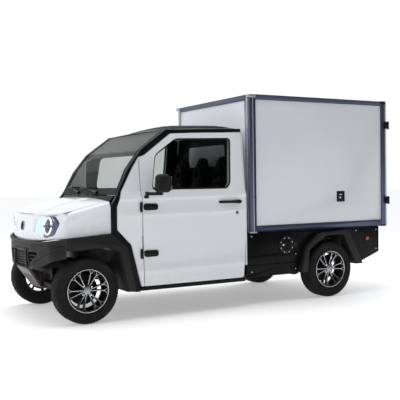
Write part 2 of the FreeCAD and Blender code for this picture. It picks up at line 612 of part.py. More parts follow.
paddle = box(LATCH_X0, LATCH_X1, PANEL_Y - 9, PANEL_Y - 1, LATCH_Z0, LATCH_Z1)
paddle_pin = rod(V(LATCH_X0, PANEL_Y - 7, LATCH_Z1 - 4), V(LATCH_X1, PANEL_Y - 7, LATCH_Z1 - 4), 6)
paddle_pin = paddle_pin.common(box(-2000, 0, 0, PANEL_Y - 1, 0, 2000))
save("side_latch", fuse(paddle, paddle_pin))

door_outer_x = BOX_REAR_X - 1.5 - CARGO_DOOR_THICKNESS
cargo_leaf = box(door_outer_x, BOX_REAR_X - 1.5, 3, BOX_HALF_WIDTH, 664, BOX_TOP_Z - 3)
cargo_plug = box(BOX_REAR_X - 1.5, BOX_REAR_X + 14, 6, REAR_POST_Y - 5, 694, 1838)
straps = []
for z in CARGO_HINGE_LEVELS:
    top = z + STRAP_HEIGHT
    straps.append(box(door_outer_x - 5, door_outer_x, 590, CARGO_HINGE_Y, z, top))
    straps.append(rod(V(CARGO_HINGE_X, CARGO_HINGE_Y, z), V(CARGO_HINGE_X, CARGO_HINGE_Y, top), PIN_RADIUS))
cargo_door = fuse(cargo_leaf, cargo_plug, *straps)
save("cargo_door_left", cargo_door)
save("cargo_door_right", mirrored(cargo_door))

LOCK_X = -1759
LOCK_Y = -70
LOCK_ROD_RADIUS = 8
lock_rod = rod(V(LOCK_X, LOCK_Y, 700), V(LOCK_X, LOCK_Y, 1852), LOCK_ROD_RADIUS)
lock_handle = prism([(-62, 1040), (-62, 1066), (-260, 1066, 10), (-260, 1040, 10)], "x", -1765, -1755)
save("cargo_lock", fuse(lock_rod, lock_handle))

# ---------------------------------------------------------------- cab doors

DOOR_OUTLINE = [(-60, 1050), (-62, 640), (-34, 268, 20), (935, 268, 12), (952, 1328), (902, 1344),
                (646, 1530, 60), (-60, 1555, 16)]
WINDOW = [(846, 1056, 26), (806, 1350, 20), (604, 1490, 50), (50, 1503, 30), (74, 1104, 30),
          (110, 1056, 26)]
GLASS = [(845, 1056.8, 26), (805.2, 1349.4, 20), (603.8, 1489.2, 50), (51, 1502.2, 30),
         (75, 1104.2, 30), (110.6, 1056.8, 26)]
CAVITY = [(-20, 290), (915, 290), (915, 1062), (-20, 1062)]
# The glass slides down in a channel, which is open behind the window and cut into its rear edge
CHANNEL = [(845, 1040), (800, 1349), (603, 1489, 50), (46, 1505, 30), (46, 1040)]
CHANNEL_CLEARANCE = 2
door = side_panel(DOOR_OUTLINE, 0, DOOR_DEPTH)
door = door.cut(side_panel(WINDOW, -10, DOOR_DEPTH + 10))
door = door.cut(side_panel(CAVITY, SKIN, DOOR_DEPTH - SKIN))
door = door.cut(side_panel(CHANNEL, GLASS_SETBACK - CHANNEL_CLEARANCE,
                           GLASS_SETBACK + GLASS_THICKNESS + CHANNEL_CLEARANCE))
door = largest(door)
save("door_shell_left", door)
save("door_shell_right", mirrored(door))

door_glass = side_panel(GLASS, GLASS_SETBACK, GLASS_SETBACK + GLASS_THICKNESS)
save("door_glass_left", door_glass)
save("door_glass_right", mirrored(door_glass))

hinge_parts = []
for z in DOOR_HINGE_LEVELS:
    top = z + STRAP_HEIGHT
    strap = prism([(926, z, 6), (796, z + 8, 10), (796, top - 12, 10), (926, top, 6)], "y",
                  SIDE_Y, SIDE_Y + 10)
    arm = box(920, 950, SIDE_Y + 2, SIDE_Y + 12, z + 6, top - 6)
    barrel = rod(V(DOOR_HINGE_X, DOOR_HINGE_Y, z), V(DOOR_HINGE_X, DOOR_HINGE_Y, top), PIN_RADIUS)
    link = box(940, DOOR_HINGE_X, SIDE_Y + 4, SIDE_Y + 12, z + 6, top - 6)
    hinge_parts.append(fuse(strap, arm, link, barrel))
save("door_hinges_left", *hinge_parts)
save("door_hinges_right", *[mirrored(part) for part in hinge_parts])

grip = prism([(HANDLE_X1, SIDE_Y + 1), (HANDLE_X1, SIDE_Y + 10), (190, SIDE_Y + 30, 12),
              (20, SIDE_Y + 30, 12), (HANDLE_X0, SIDE_Y + 10), (HANDLE_X0, SIDE_Y + 1),
              (14, SIDE_Y + 1), (34, SIDE_Y + 18, 8), (176, SIDE_Y + 18, 8), (196, SIDE_Y + 1)], "z",
             HANDLE_Z - 15, HANDLE_Z + 15)
save("door_handle_left", grip)
save("door_handle_right", mirrored(grip))

head = prism([(892, 762), (880, 862, 30), (800, 868, 30), (752, 850, 20), (760, 762, 20)], "z", 1030, 1168)
stalk = prism([(922, 712), (922, 738), (890, 800), (850, 800), (880, 712)], "z", 1016, 1042)
foot = fuse(rod(V(908, 700, 1000), V(908, 700, 1042), 14), box(902, 922, 686, 722, 1018, 1040))
mirror = fuse(head, stalk, foot)
save("door_mirror_left", mirror)
save("door_mirror_right", mirrored(mirror))

# ---------------------------------------------------------------- wipers and inner mirror

WIPER_NORMAL = V(0.8899, 0, 0.4562)
WIPER_UP = V(-0.4562, 0, 0.8899)


def wiper(y, length):
    """Arm and blade parked along the foot of the windscreen, towards the right."""
    base = V(1150, y, 1034) + WIPER_NORMAL * 9
    frame = FreeCAD.Matrix(WIPER_NORMAL.x, 0, WIPER_UP.x, base.x,
                           0, 1, 0, base.y,
                           WIPER_NORMAL.z, 0, WIPER_UP.z, base.z,
                           0, 0, 0, 1)
    hub = Part.makeCylinder(14, 22, V(-6, 0, 0), V(1, 0, 0))
    arm = prism([(0, -7), (0, 7), (-length * 0.62, 40), (-length * 0.62, 30)], "x", 6, 14)
    blade = prism([(-length * 0.12, 44), (-length * 0.12, 54), (-length, 54), (-length, 44)], "x", -6, 10)
    clip_block = prism([(-length * 0.62 + 12, 24), (-length * 0.62 + 12, 56), (-length * 0.62 - 12, 56),
                        (-length * 0.62 - 12, 24)], "x", 4, 16)
    return fuse(hub, arm, blade, clip_block).transformGeometry(frame)


save("wiper_left", wiper(225, 420))
save("wiper_right", wiper(-215, 330))

glass_mirror = prism([(-115, 1452, 20), (115, 1452, 20), (110, 1512, 20), (-110, 1512, 20)], "x", 690, 714)
save("interior_mirror", fuse(glass_mirror, rod(V(704, 0, 1500), V(704, 0, 1533), 8)))
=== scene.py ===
import json
import math

import bmesh
import bpy
from mathutils import Matrix, Vector


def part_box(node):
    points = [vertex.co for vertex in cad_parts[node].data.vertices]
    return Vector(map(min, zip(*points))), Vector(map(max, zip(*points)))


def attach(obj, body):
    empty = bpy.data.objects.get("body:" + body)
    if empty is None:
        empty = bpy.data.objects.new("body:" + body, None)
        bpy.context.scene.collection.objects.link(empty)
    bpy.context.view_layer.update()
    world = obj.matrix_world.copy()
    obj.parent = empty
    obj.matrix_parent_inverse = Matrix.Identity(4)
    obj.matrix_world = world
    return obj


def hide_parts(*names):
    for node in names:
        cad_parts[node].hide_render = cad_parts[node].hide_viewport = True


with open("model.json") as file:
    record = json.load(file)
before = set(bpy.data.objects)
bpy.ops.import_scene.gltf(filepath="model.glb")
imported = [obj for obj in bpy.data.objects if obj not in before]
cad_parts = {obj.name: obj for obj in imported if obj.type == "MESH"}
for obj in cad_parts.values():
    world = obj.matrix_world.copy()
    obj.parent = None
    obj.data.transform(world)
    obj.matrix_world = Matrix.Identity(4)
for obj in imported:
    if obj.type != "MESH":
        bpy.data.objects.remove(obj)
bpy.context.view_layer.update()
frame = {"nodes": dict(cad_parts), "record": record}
nodes = frame["nodes"]
node_body = {n: body for body, group in frame["record"]["behaviour"]["bodies"].items() for n in group}
scene = bpy.context.scene

# ------------------------------------------------------------------ camera and stage

CAMERA_PLACE = Vector((3.4875, 6.0976, 1.1163))
CAMERA_YAW = 0.51811
CAMERA_PITCH = 0.02459
CAMERA_ROLL = -0.01459
CAMERA_LENS = 65.67
SENSOR_WIDTH = 36

forward = Vector((-math.sin(CAMERA_YAW) * math.cos(CAMERA_PITCH),
                  -math.cos(CAMERA_YAW) * math.cos(CAMERA_PITCH), -math.sin(CAMERA_PITCH)))
right = Vector((-math.cos(CAMERA_YAW), math.sin(CAMERA_YAW), 0))
up = right.cross(forward)
rolled_right = right * math.cos(CAMERA_ROLL) + up * math.sin(CAMERA_ROLL)
rolled_up = up * math.cos(CAMERA_ROLL) - right * math.sin(CAMERA_ROLL)
camera_data = bpy.data.cameras.new("camera")
camera_data.lens = CAMERA_LENS
camera_data.sensor_width = SENSOR_WIDTH
camera = bpy.data.objects.new("camera", camera_data)
scene.collection.objects.link(camera)
camera.matrix_world = Matrix.Translation(CAMERA_PLACE) @ Matrix(
    (rolled_right, rolled_up, -forward)).transposed().to_4x4()
scene.camera = camera
scene.view_settings.view_transform = "Standard"


def area_light(name, place, target, size, power, colour=(1, 1, 1)):
    data = bpy.data.lights.new(name, "AREA")
    data.shape = "RECTANGLE"
    data.size = size[0]
    data.size_y = size[1]
    data.energy = power
    data.color = colour
    light = bpy.data.objects.new(name, data)
    scene.collection.objects.link(light)
    light.location = place
    light.rotation_euler = (Vector(target) - Vector(place)).to_track_quat("-Z", "Y").to_euler()


area_light("key_front", (7.5, 1.2, 4.0), (0.9, 0, 0.8), (3.4, 2.4), 66)
area_light("fill_left", (1.6, 8.0, 2.4), (0.7, 0, 0.8), (4.0, 2.4), 9, (0.78, 0.84, 1.0))
area_light("top", (0.6, 0.2, 6.0), (0.4, 0, 0), (5.0, 4.0), 150)
area_light("back", (-6.0, -4.0, 4.0), (0, 0, 0.8), (4.0, 3.0), 120)

BACKDROP_STRENGTH = 1.05
SURROUND_RANGE = (-0.45, 0.70, 1.02, 0.16)

# Studio surround: bright on the right of the truck and dimmer on its left, with an even backdrop
world = bpy.data.worlds.new("world")
scene.world = world
world.use_nodes = True
world_tree = world.node_tree
surround = world_tree.nodes.new("ShaderNodeTexCoord")
split = world_tree.nodes.new("ShaderNodeSeparateXYZ")
shade = world_tree.nodes.new("ShaderNodeMapRange")
for key, number in zip(("From Min", "From Max", "To Min", "To Max"), SURROUND_RANGE):
    shade.inputs[key].default_value = number
world_tree.links.new(surround.outputs["Generated"], split.inputs[0])
world_tree.links.new(split.outputs["Y"], shade.inputs["Value"])
seen = world_tree.nodes.new("ShaderNodeLightPath")
backdrop = world_tree.nodes.new("ShaderNodeMix")
backdrop.inputs["B"].default_value = BACKDROP_STRENGTH
world_tree.links.new(seen.outputs["Is Camera Ray"], backdrop.inputs["Factor"])
world_tree.links.new(shade.outputs[0], backdrop.inputs["A"])
world_tree.links.new(backdrop.outputs[0], world_tree.nodes["Background"].inputs["Strength"])
world_tree.nodes["Background"].inputs[0].default_value = (0.97, 0.98, 1.0, 1)

# ------------------------------------------------------------------ materials


class Shader:
    """A Principled material and short ways to add nodes to it."""

    def __init__(self, name, rough=0.5, metal=0.0, coat=0.0, **constants):
        self.material = bpy.data.materials.new(name)
        self.material.use_nodes = True
        self.tree = self.material.node_tree
        self.main = self.tree.nodes["Principled BSDF"]
        self.main.inputs["Roughness"].default_value = rough
        self.main.inputs["Metallic"].default_value = metal
        self.main.inputs["Coat Weight"].default_value = coat
        for key, value in constants.items():
            self.main.inputs[key.replace("_", " ")].default_value = value
        self.place = self.add("ShaderNodeTexCoord").outputs["Object"]

    def add(self, kind, **settings):
        node = self.tree.nodes.new(kind)
        for key, value in settings.items():
            setattr(node, key, value)
        return node

    def link(self, output, target):
        self.tree.links.new(output, target)

    def noise(self, scale, detail=3.0, stretch=(1, 1, 1), rough=0.5):
        mapping = self.add("ShaderNodeMapping")
        mapping.inputs["Scale"].default_value = stretch
        self.link(self.place, mapping.inputs["Vector"])
        node = self.add("ShaderNodeTexNoise")
        node.inputs["Scale"].default_value = scale
        node.inputs["Detail"].default_value = detail
        node.inputs["Roughness"].default_value = rough
        self.link(mapping.outputs[0], node.inputs["Vector"])
        return node.outputs["Fac"]

    def ramp(self, value, low, high, out_low=0.0, out_high=1.0):
        node = self.add("ShaderNodeMapRange")
        for key, number in zip(("From Min", "From Max", "To Min", "To Max"), (low, high, out_low, out_high)):
            node.inputs[key].default_value = number
        self.link(value, node.inputs["Value"])
        return node.outputs[0]

    def math(self, kind, a, b):
        node = self.add("ShaderNodeMath", operation=kind)
        for socket, value in zip(node.inputs, (a, b)):
            if isinstance(value, (int, float)):
                socket.default_value = value
            else:
                self.link(value, socket)
        return node.outputs[0]

    def mix(self, factor, a, b):
        node = self.add("ShaderNodeMix", data_type="RGBA")
        if isinstance(factor, (int, float)):
            node.inputs[0].default_value = factor
        else:
            self.link(factor, node.inputs[0])
        for socket, value in ((node.inputs[6], a), (node.inputs[7], b)):
            if isinstance(value, tuple):
                socket.default_value = (*value, 1)
            else:
                self.link(value, socket)
        return node.outputs[2]

    def height(self):
        split = self.add("ShaderNodeSeparateXYZ")
        self.link(self.place, split.inputs[0])
        return split.outputs["Z"]

    def worn_edges(self, low=0.51, high=0.58):
        return self.ramp(self.add("ShaderNodeNewGeometry").outputs["Pointiness"], low, high)

    def bump(self, height, strength, distance):
        node = self.add("ShaderNodeBump")
        node.inputs["Strength"].default_value = strength
        node.inputs["Distance"].default_value = distance
        self.link(height, node.inputs["Height"])
        self.link(node.outputs[0], self.main.inputs["Normal"])

    def colour(self, output):
        self.link(output, self.main.inputs["Base Color"])

    def roughness(self, output):
        self.link(output, self.main.inputs["Roughness"])


def road_dust(shader, top):
    """Mask of the dust thrown up on the lower parts, fading out at height top."""
    fade = shader.ramp(shader.height(), 0.15, top, 1.0, 0.0)
    return shader.math("MULTIPLY", fade, shader.ramp(shader.noise(7.0, 6.0), 0.35, 0.75))


def painted(name, colour, shade, rough=0.22, coat=0.7, dust=0.03, dust_top=1.0, specular=0.5):
    s = Shader(name, rough=rough, coat=coat, Coat_Roughness=0.06, Specular_IOR_Level=specular)
    mask = s.math("MULTIPLY", road_dust(s, dust_top), dust)
    tone = s.mix(s.ramp(s.noise(1.6, 4.0), 0.3, 0.7), colour, shade)
    s.colour(s.mix(mask, tone, (0.42, 0.39, 0.35)))
    s.roughness(s.math("ADD", s.ramp(s.noise(5.0, 5.0), 0.3, 0.7, rough * 0.85, rough * 1.25), mask))
    s.bump(s.noise(420.0, 2.0), 0.04, 0.0004)
    return s.material


def moulded(name, colour, rough=0.5, grain=900.0, depth=0.25, dust=0.06, dust_top=0.9, wear=0.25,
            specular=0.4):
    """Grained plastic, paler along its edges and dusty low down."""
    s = Shader(name, rough=rough, Specular_IOR_Level=specular)
    pale = tuple(min(1.0, c * 2.2 + 0.02) for c in colour)
    dark = tuple(c * 0.72 for c in colour)
    tone = s.mix(s.ramp(s.noise(9.0, 5.0), 0.3, 0.7), dark, colour)
    tone = s.mix(s.math("MULTIPLY", s.worn_edges(), wear), tone, pale)
    mask = s.math("MULTIPLY", road_dust(s, dust_top), dust)
    s.colour(s.mix(mask, tone, (0.30, 0.28, 0.25)))
    s.roughness(s.ramp(s.noise(26.0, 4.0), 0.3, 0.7, rough * 0.85, min(1.0, rough * 1.2)))
    s.bump(s.noise(grain, 2.0), depth, 0.0006)
    return s.material


def metal(name, colour, rough=0.35, stretch=(1, 1, 40), wear=0.2, metallic=1.0, grain=60.0):
    s = Shader(name, rough=rough, metal=metallic)
    streak = s.noise(grain, 3.0, stretch)
    dark = tuple(c * 0.8 for c in colour)
    tone = s.mix(s.ramp(streak, 0.3, 0.7), dark, colour)
    s.colour(s.mix(s.math("MULTIPLY", s.worn_edges(), wear), tone, tuple(min(1, c * 1.3) for c in colour)))
    s.roughness(s.ramp(s.noise(grain * 0.7, 3.0, stretch), 0.3, 0.7, rough * 0.75, rough * 1.3))
    s.bump(streak, 0.06, 0.0003)
    return s.material


def clear(name, tint, rough=0.02, haze=0.03, index=1.22):
    s = Shader(name, rough=rough, IOR=index, Transmission_Weight=1.0)
    s.colour(s.mix(s.ramp(s.noise(2.2, 4.0), 0.3, 0.7), tint, tuple(c * 0.93 for c in tint)))
    s.roughness(s.ramp(s.noise(14.0, 4.0), 0.4, 0.8, rough, rough + haze))
    return s.material


def glowing(name, colour, strength, rough=0.3):
    s = Shader(name, rough=rough)
    s.main.inputs["Emission Strength"].default_value = strength
    s.main.inputs["Emission Color"].default_value = (*colour, 1)
    s.colour(s.mix(s.ramp(s.noise(60.0), 0.3, 0.7), colour, tuple(c * 0.9 for c in colour)))
    return s.material


def rubber():
    s = Shader("tyre_rubber", rough=0.72, Specular_IOR_Level=0.14)
    tone = s.mix(s.ramp(s.noise(14.0, 6.0), 0.35, 0.7), (0.0125, 0.0115, 0.0105), (0.019, 0.0175, 0.0165))
    low = s.ramp(s.noise(45.0, 6.0), 0.52, 0.75)
    s.colour(s.mix(s.math("MULTIPLY", low, 0.12), tone, (0.06, 0.056, 0.05)))
    s.roughness(s.ramp(s.noise(20.0, 4.0), 0.3, 0.7, 0.62, 0.85))
    s.bump(s.noise(700.0, 2.0), 0.18, 0.0006)
    return s.material


def cloth(name, colour, light, weave=1500.0):
    s = Shader(name, rough=0.92, Sheen_Weight=0.08, Specular_IOR_Level=0.2)
    wave = s.add("ShaderNodeTexWave", wave_type="BANDS", bands_direction="DIAGONAL")
    wave.inputs["Scale"].default_value = weave / 6
    wave.inputs["Distortion"].default_value = 1.5
    s.link(s.place, wave.inputs["Vector"])
    tone = s.mix(wave.outputs["Fac"], colour, light)
    s.colour(s.mix(s.ramp(s.noise(8.0, 5.0), 0.3, 0.75), tone, tuple(c * 0.6 for c in colour)))
    s.bump(wave.outputs["Fac"], 0.5, 0.0008)
    return s.material


M = {
    "white_paint": painted("white_paint", (0.86, 0.87, 0.89), (0.80, 0.82, 0.85)),
    "white_plastic": painted("white_plastic", (0.86, 0.87, 0.89), (0.81, 0.83, 0.86), rough=0.26, coat=0.5),
    "black_gloss": painted("black_gloss", (0.0045, 0.0045, 0.0055), (0.008, 0.008, 0.009), rough=0.3,
                           coat=0.03, dust=0.01, dust_top=0.7, specular=0.08),
    "roof_black": painted("roof_black", (0.0065, 0.006, 0.006), (0.012, 0.011, 0.011), rough=0.42, coat=0.0,
                          dust=0.0, specular=0.2),
    "charcoal": moulded("charcoal", (0.0085, 0.0083, 0.0088), dust=0.03, specular=0.22),
    "skid_grey": moulded("skid_grey", (0.105, 0.092, 0.082), rough=0.42, depth=0.12, dust=0.06),
    "black_steel": moulded("black_steel", (0.004, 0.004, 0.0045), rough=0.34, depth=0.06, dust=0.01,
                           specular=0.2),
    "frame_black": moulded("frame_black", (0.008, 0.008, 0.0085), rough=0.6, grain=300.0, dust=0.12,
                           dust_top=0.6, specular=0.25),
    "battery_case": moulded("battery_case", (0.012, 0.012, 0.013), rough=0.6, dust=0.12, dust_top=0.5,
                            specular=0.25),
    "wheel_black": painted("wheel_black", (0.004, 0.004, 0.0045), (0.008, 0.008, 0.009), rough=0.3, coat=0.05,
                           dust=0.04, dust_top=0.5, specular=0.2),
    "seal_black": moulded("seal_black", (0.004, 0.004, 0.004), rough=0.6, depth=0.05, dust=0.0, specular=0.2),
    "anodised": metal("anodised", (0.085, 0.10, 0.16), rough=0.34, metallic=0.75),
    "post_aluminium": metal("post_aluminium", (0.42, 0.43, 0.46), rough=0.28, metallic=0.6),
    "tread_plate": metal("tread_plate", (0.48, 0.49, 0.50), rough=0.4, stretch=(30, 1, 1)),
    "alloy": metal("alloy", (0.78, 0.79, 0.82), rough=0.16, stretch=(1, 6, 1), grain=90.0),
    "box_white": painted("box_white", (0.74, 0.77, 0.80), (0.70, 0.73, 0.77), rough=0.34, coat=0.25,
                         dust=0.05),
    "mirror_silver": metal("mirror_silver", (0.75, 0.77, 0.80), rough=0.03, wear=0.0),
    "marker_orange": moulded("marker_orange", (0.42, 0.085, 0.03), rough=0.15, depth=0.05, dust=0.0),
    "lamp_glow": glowing("lamp_glow", (0.66, 0.80, 1.0), 0.42),
    # Grey of the painted shadow line under the hood's front edge
    "painted_shadow_grey": moulded("painted_shadow_grey", (0.22, 0.23, 0.25), rough=0.6, depth=0.05, dust=0.0),
    "badge_navy": moulded("badge_navy", (0.010, 0.013, 0.034), rough=0.65, depth=0.05, dust=0.0,
                          specular=0.1),
    "lamp_light": glowing("lamp_light", (0.93, 0.97, 1.0), 1.3),
    "lamp_navy": painted("lamp_navy", (0.006, 0.018, 0.13), (0.003, 0.008, 0.05), rough=0.15, dust=0.0),
    "projector_glass": painted("projector_glass", (0.008, 0.02, 0.10), (0.004, 0.008, 0.03), rough=0.05,
                               coat=1.0, dust=0.0),
    "window_glass": clear("window_glass", (0.70, 0.73, 0.715), index=1.06),
    "clear_cover": clear("clear_cover", (0.93, 0.97, 1.0), haze=0.01),
    "lamp_red": moulded("lamp_red", (0.50, 0.02, 0.012), rough=0.15, depth=0.05),
    "lamp_shell": painted("lamp_shell", (0.010, 0.022, 0.12), (0.006, 0.012, 0.06), rough=0.2, dust=0.0),
    "tyre_rubber": rubber(),
    "seat_cloth": cloth("seat_cloth", (0.010, 0.010, 0.011), (0.020, 0.020, 0.022)),
}
slot_of = {entry["node"]: entry["material_slot"] for entry in frame["record"]["subparts"]}

# ------------------------------------------------------------------ building pieces


def add_object(name, mesh, body, slot, material=None, smooth=40):
    """Links a finished mesh as a piece that rides on a body."""
    obj = bpy.data.objects.new(name, mesh)
    scene.collection.objects.link(obj)
    mesh.materials.clear()
    mesh.materials.append(material or M[slot])
    if smooth:
        for face in mesh.polygons:
            face.use_smooth = True
        mesh.set_sharp_from_angle(angle=math.radians(smooth))
    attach(obj, body)
    return obj


def baked(obj):
    """The object's mesh with its modifiers applied, as a new mesh."""
    bpy.context.view_layer.update()
    graph = bpy.context.evaluated_depsgraph_get()
    return bpy.data.meshes.new_from_object(obj.evaluated_get(graph), depsgraph=graph)


def modified(mesh, *modifiers):
    """Runs modifiers, each (kind, settings), on a mesh and returns the result."""
    obj = bpy.data.objects.new("working", mesh)
    scene.collection.objects.link(obj)
    for kind, settings in modifiers:
        modifier = obj.modifiers.new(kind.lower(), kind)
        for key, value in settings.items():
            setattr(modifier, key, value)
    result = baked(obj)
    bpy.data.objects.remove(obj)
    return result


def clean_copy(node):
    """A node's mesh with its triangles merged back into flat faces."""
    mesh = nodes[node].data.copy()
    bm = bmesh.new()
    bm.from_mesh(mesh)
    bmesh.ops.remove_doubles(bm, verts=bm.verts, dist=2e-5)
    bmesh.ops.dissolve_limit(bm, angle_limit=math.radians(1.0), verts=bm.verts, edges=bm.edges)
    bm.to_mesh(mesh)
    bm.free()
    return mesh


def bevelled(mesh, width, segments=2, angle=32):
    return modified(mesh, ("BEVEL", dict(width=width, segments=segments, limit_method="ANGLE",
                                         angle_limit=math.radians(angle), use_clamp_overlap=True,
                                         harden_normals=False)))


def refined(node, width):
    """The node's own shape with rounded edges, shown in its place."""
    obj = add_object(node + "_finished", bevelled(clean_copy(node), width), node_body[node], slot_of[node])
    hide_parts(node)


def finished_mesh(bm, name):
    bmesh.ops.recalc_face_normals(bm, faces=bm.faces)
    mesh = bpy.data.meshes.new(name)
    bm.to_mesh(mesh)
    bm.free()
    return mesh


def bridged(bm, rows):
    """Joins closed rings of vertices one to the next."""
    for here, there in zip(rows, rows[1:]):
        for i in range(len(here)):
            j = (i + 1) % len(here)
            bm.faces.new((here[i], here[j], there[j], there[i]))


def capped(bm, rows):
    """Closes the first and the last ring."""
    bm.faces.new(rows[0])
    bm.faces.new(list(reversed(rows[-1])))


ROUND_EDGES = {
    "cab_hoops": 0.006, "quarter_panels": 0.003, "sills": 0.006, "bed_sides": 0.006, "wheel_arches": 0.010,
    "door_shell_left": 0.005, "door_shell_right": 0.005, "front_bumper": 0.005, "box_frame": 0.003,
    "cargo_door_left": 0.003, "cargo_door_right": 0.003,
    "cargo_lock": 0.002, "side_latch": 0.002, "rear_bumper": 0.006, "chassis_frame": 0.003,
    "battery_pack": 0.006, "suspension": 0.003, "rear_axle": 0.003, "knuckle_left": 0.003,
    "knuckle_right": 0.003, "dashboard": 0.01, "skid_plate": 0.003, "cab_rear_wall": 0.002,
    "steering_wheel": 0.003, "brake_pedal": 0.002, "accelerator_pedal": 0.002, "cab_tub": 0.002,
    "interior_mirror": 0.004, "marker_lamps": 0.003, "cowl_panel": 0.003, "wiper_left": 0.0012,
    "wiper_right": 0.0012, "box_panels": 0.002, "box_floor": 0.002, "charge_cover": 0.002,
}
for node, width in ROUND_EDGES.items():
    refined(node, width)
for node, obj in nodes.items():
    if node not in ROUND_EDGES and not node.startswith(("tyre_", "rim_", "seat_")):
        obj.data.materials.clear()
        obj.data.materials.append(M[slot_of[node]])
for node in ("cab_glazing", "door_glass_left", "door_glass_right", "headlight_lenses"):
    nodes[node].visible_shadow = False

# ------------------------------------------------------------------ wheels

TREAD_PITCHES = 62
STEPS_PER_PITCH = 4
GROOVE_DEPTH = 0.0045


def spun(rings, steps=96):
    """Surface of revolution about the wheel's Y axis; rings(k) gives (along, radius) points."""
    bm = bmesh.new()
    rows = []
    for k in range(steps):
        angle = 2 * math.pi * k / steps
        rows.append([bm.verts.new((r * math.cos(angle), a, r * math.sin(angle))) for a, r in rings(k)])
    bridged(bm, rows + rows[:1])
    return bm


def wheel_mesh(bm, name, centre, side):
    """Moves a wheel part built about the origin, outward along +Y, to its place on one side."""
    for vert in bm.verts:
        vert.co = Vector((vert.co.x * side, vert.co.y * side, vert.co.z)) + centre
    return finished_mesh(bm, name)


def tyre_rings(k):
    """Section of the tyre at one step round it: sidewall rings, shoulder blocks and grooves."""
    phase = k % STEPS_PER_PITCH
    cut = GROOVE_DEPTH if phase == 0 else 0.0
    other_cut = GROOVE_DEPTH if phase == 2 else 0.0
    half = [(0.050, 0.1663), (0.0625, 0.1667), (0.0668, 0.176), (0.0700, 0.186), (0.0722, 0.1885),
            (0.0722, 0.1915), (0.0708, 0.194), (0.0740, 0.208), (0.0762, 0.222), (0.0768, 0.2255),
            (0.0752, 0.2275), (0.0758, 0.236), (0.0742, 0.246)]
    left = half + [(0.0712 - cut * 0.8, 0.2545 - cut), (0.0652 - cut * 0.5, 0.2608 - cut),
                   (0.0560, 0.2645 - cut),
                   (0.0450, 0.2655 - cut), (0.0370, 0.2657 - cut * 0.6), (0.0362, 0.2600), (0.0298, 0.2600),
                   (0.0290, 0.2659), (0.0190, 0.2660), (0.0090, 0.2660 - other_cut * 0.5), (0.0040, 0.2660),
                   (0.0034, 0.2603)]
    right_side = [(-a, r) for a, r in reversed(half)]
    right_tread = [(-0.0034, 0.2603), (-0.0040, 0.2660), (-0.0090, 0.2660 - other_cut * 0.5),
                   (-0.0190, 0.2660), (-0.0290, 0.2659), (-0.0298, 0.2600), (-0.0362, 0.2600),
                   (-0.0370, 0.2657 - other_cut * 0.6), (-0.0450, 0.2655 - other_cut),
                   (-0.0560, 0.2645 - other_cut), (-0.0652 + other_cut * 0.5, 0.2608 - other_cut),
                   (-0.0712 + other_cut * 0.8, 0.2545 - other_cut)]
    lining = [(-0.050, 0.1668), (-0.058, 0.19), (-0.060, 0.22), (-0.050, 0.245), (0.050, 0.245),
              (0.060, 0.22), (0.058, 0.19)]
    return left + right_tread + right_side + lining


BARREL = [(0.0710, 0.1662), (0.0735, 0.1700), (0.0735, 0.1745), (0.0718, 0.1750), (0.0700, 0.1722),
          (0.0688, 0.1672),
          (0.0660, 0.1655), (0.0480, 0.1655), (0.0300, 0.1515), (-0.0300, 0.1515), (-0.0480, 0.1655),
          (-0.0645, 0.1655), (-0.0660, 0.1735), (-0.0705, 0.1735), (-0.0705, 0.1662), (-0.0650, 0.1600),
          (-0.0300, 0.1462), (0.0200, 0.1462), (0.0460, 0.1575), (0.0640, 0.1600)]
LIP = [(0.0737, 0.1682), (0.0748, 0.1690), (0.0751, 0.1712), (0.0744, 0.1726), (0.0732, 0.1712)]
RIB_STATIONS = [(0.030, 0.0500, 0.0017), (0.052, 0.0462, 0.0019), (0.080, 0.0470, 0.0019),
                (0.110, 0.0520, 0.0019), (0.139, 0.0585, 0.0019)]
FORK_STATIONS = [(0.137, 0.0580, 0.0018, 0.0), (0.151, 0.0630, 0.0017, 0.0075),
                 (0.1600, 0.0668, 0.0016, 0.0165), (0.1672, 0.0726, 0.0015, 0.0290)]
BODY_WIDEN = 0.0045
RIB_COUNT = 12
PAIR_SKEW = math.radians(4.6)
RIB_DEPTH = 0.024
RIB_FACE_DEPTH = 0.002
RIB_FACE_PROUD = 0.0012


def bar(bm, stations, angle, depth, proud=0.0, widen=0.0):
    """Tapered bar running outwards in the wheel's face; stations are (radius, along, half width, offset)."""
    rows = []
    across_dir = Vector((-math.sin(angle), 0, math.cos(angle)))
    outward = Vector((math.cos(angle), 0, math.sin(angle)))
    for radius, along, half, offset in stations:
        middle = outward * radius + across_dir * offset + Vector((0, along + proud, 0))
        half += widen
        rows.append([bm.verts.new(middle + across_dir * s * half * shrink - Vector((0, d, 0)))
                     for s, d, shrink in ((-1, 0.0008, 1), (-0.72, 0, 1), (0.72, 0, 1), (1, 0.0008, 1),
                                          (1, depth, 1.3), (-1, depth, 1.3))])
    bridged(bm, rows)
    capped(bm, rows)


def ribs(depth, proud=0.0, widen=0.0):
    bm = bmesh.new()
    for i in range(RIB_COUNT):
        angle = 2 * math.pi * (i + 0.25) / RIB_COUNT + (PAIR_SKEW if i % 2 else -PAIR_SKEW)
        bar(bm, [(r, a, w, 0.0) for r, a, w in RIB_STATIONS], angle, depth, proud, widen)
        for hand in (-1, 1):
            bar(bm, [(r, a, w, o * hand) for r, a, w, o in FORK_STATIONS], angle, depth, proud, widen)
    return bm


HUB_SECTION = [(-0.030, 0.0163), (-0.030, 0.056), (-0.022, 0.058), (0.018, 0.058), (0.030, 0.055),
               (0.040, 0.050), (0.0455, 0.042), (0.0475, 0.030), (0.047, 0.010), (0.014, 0.0163)]
CAP_SECTION = [(0.046, 0.033), (0.0515, 0.033), (0.0535, 0.029), (0.0565, 0.012)]
CAP_SIDES = 6
LUG_COUNT = 4
LUG_CIRCLE = 0.047
LUG_TURN = math.radians(7.5)


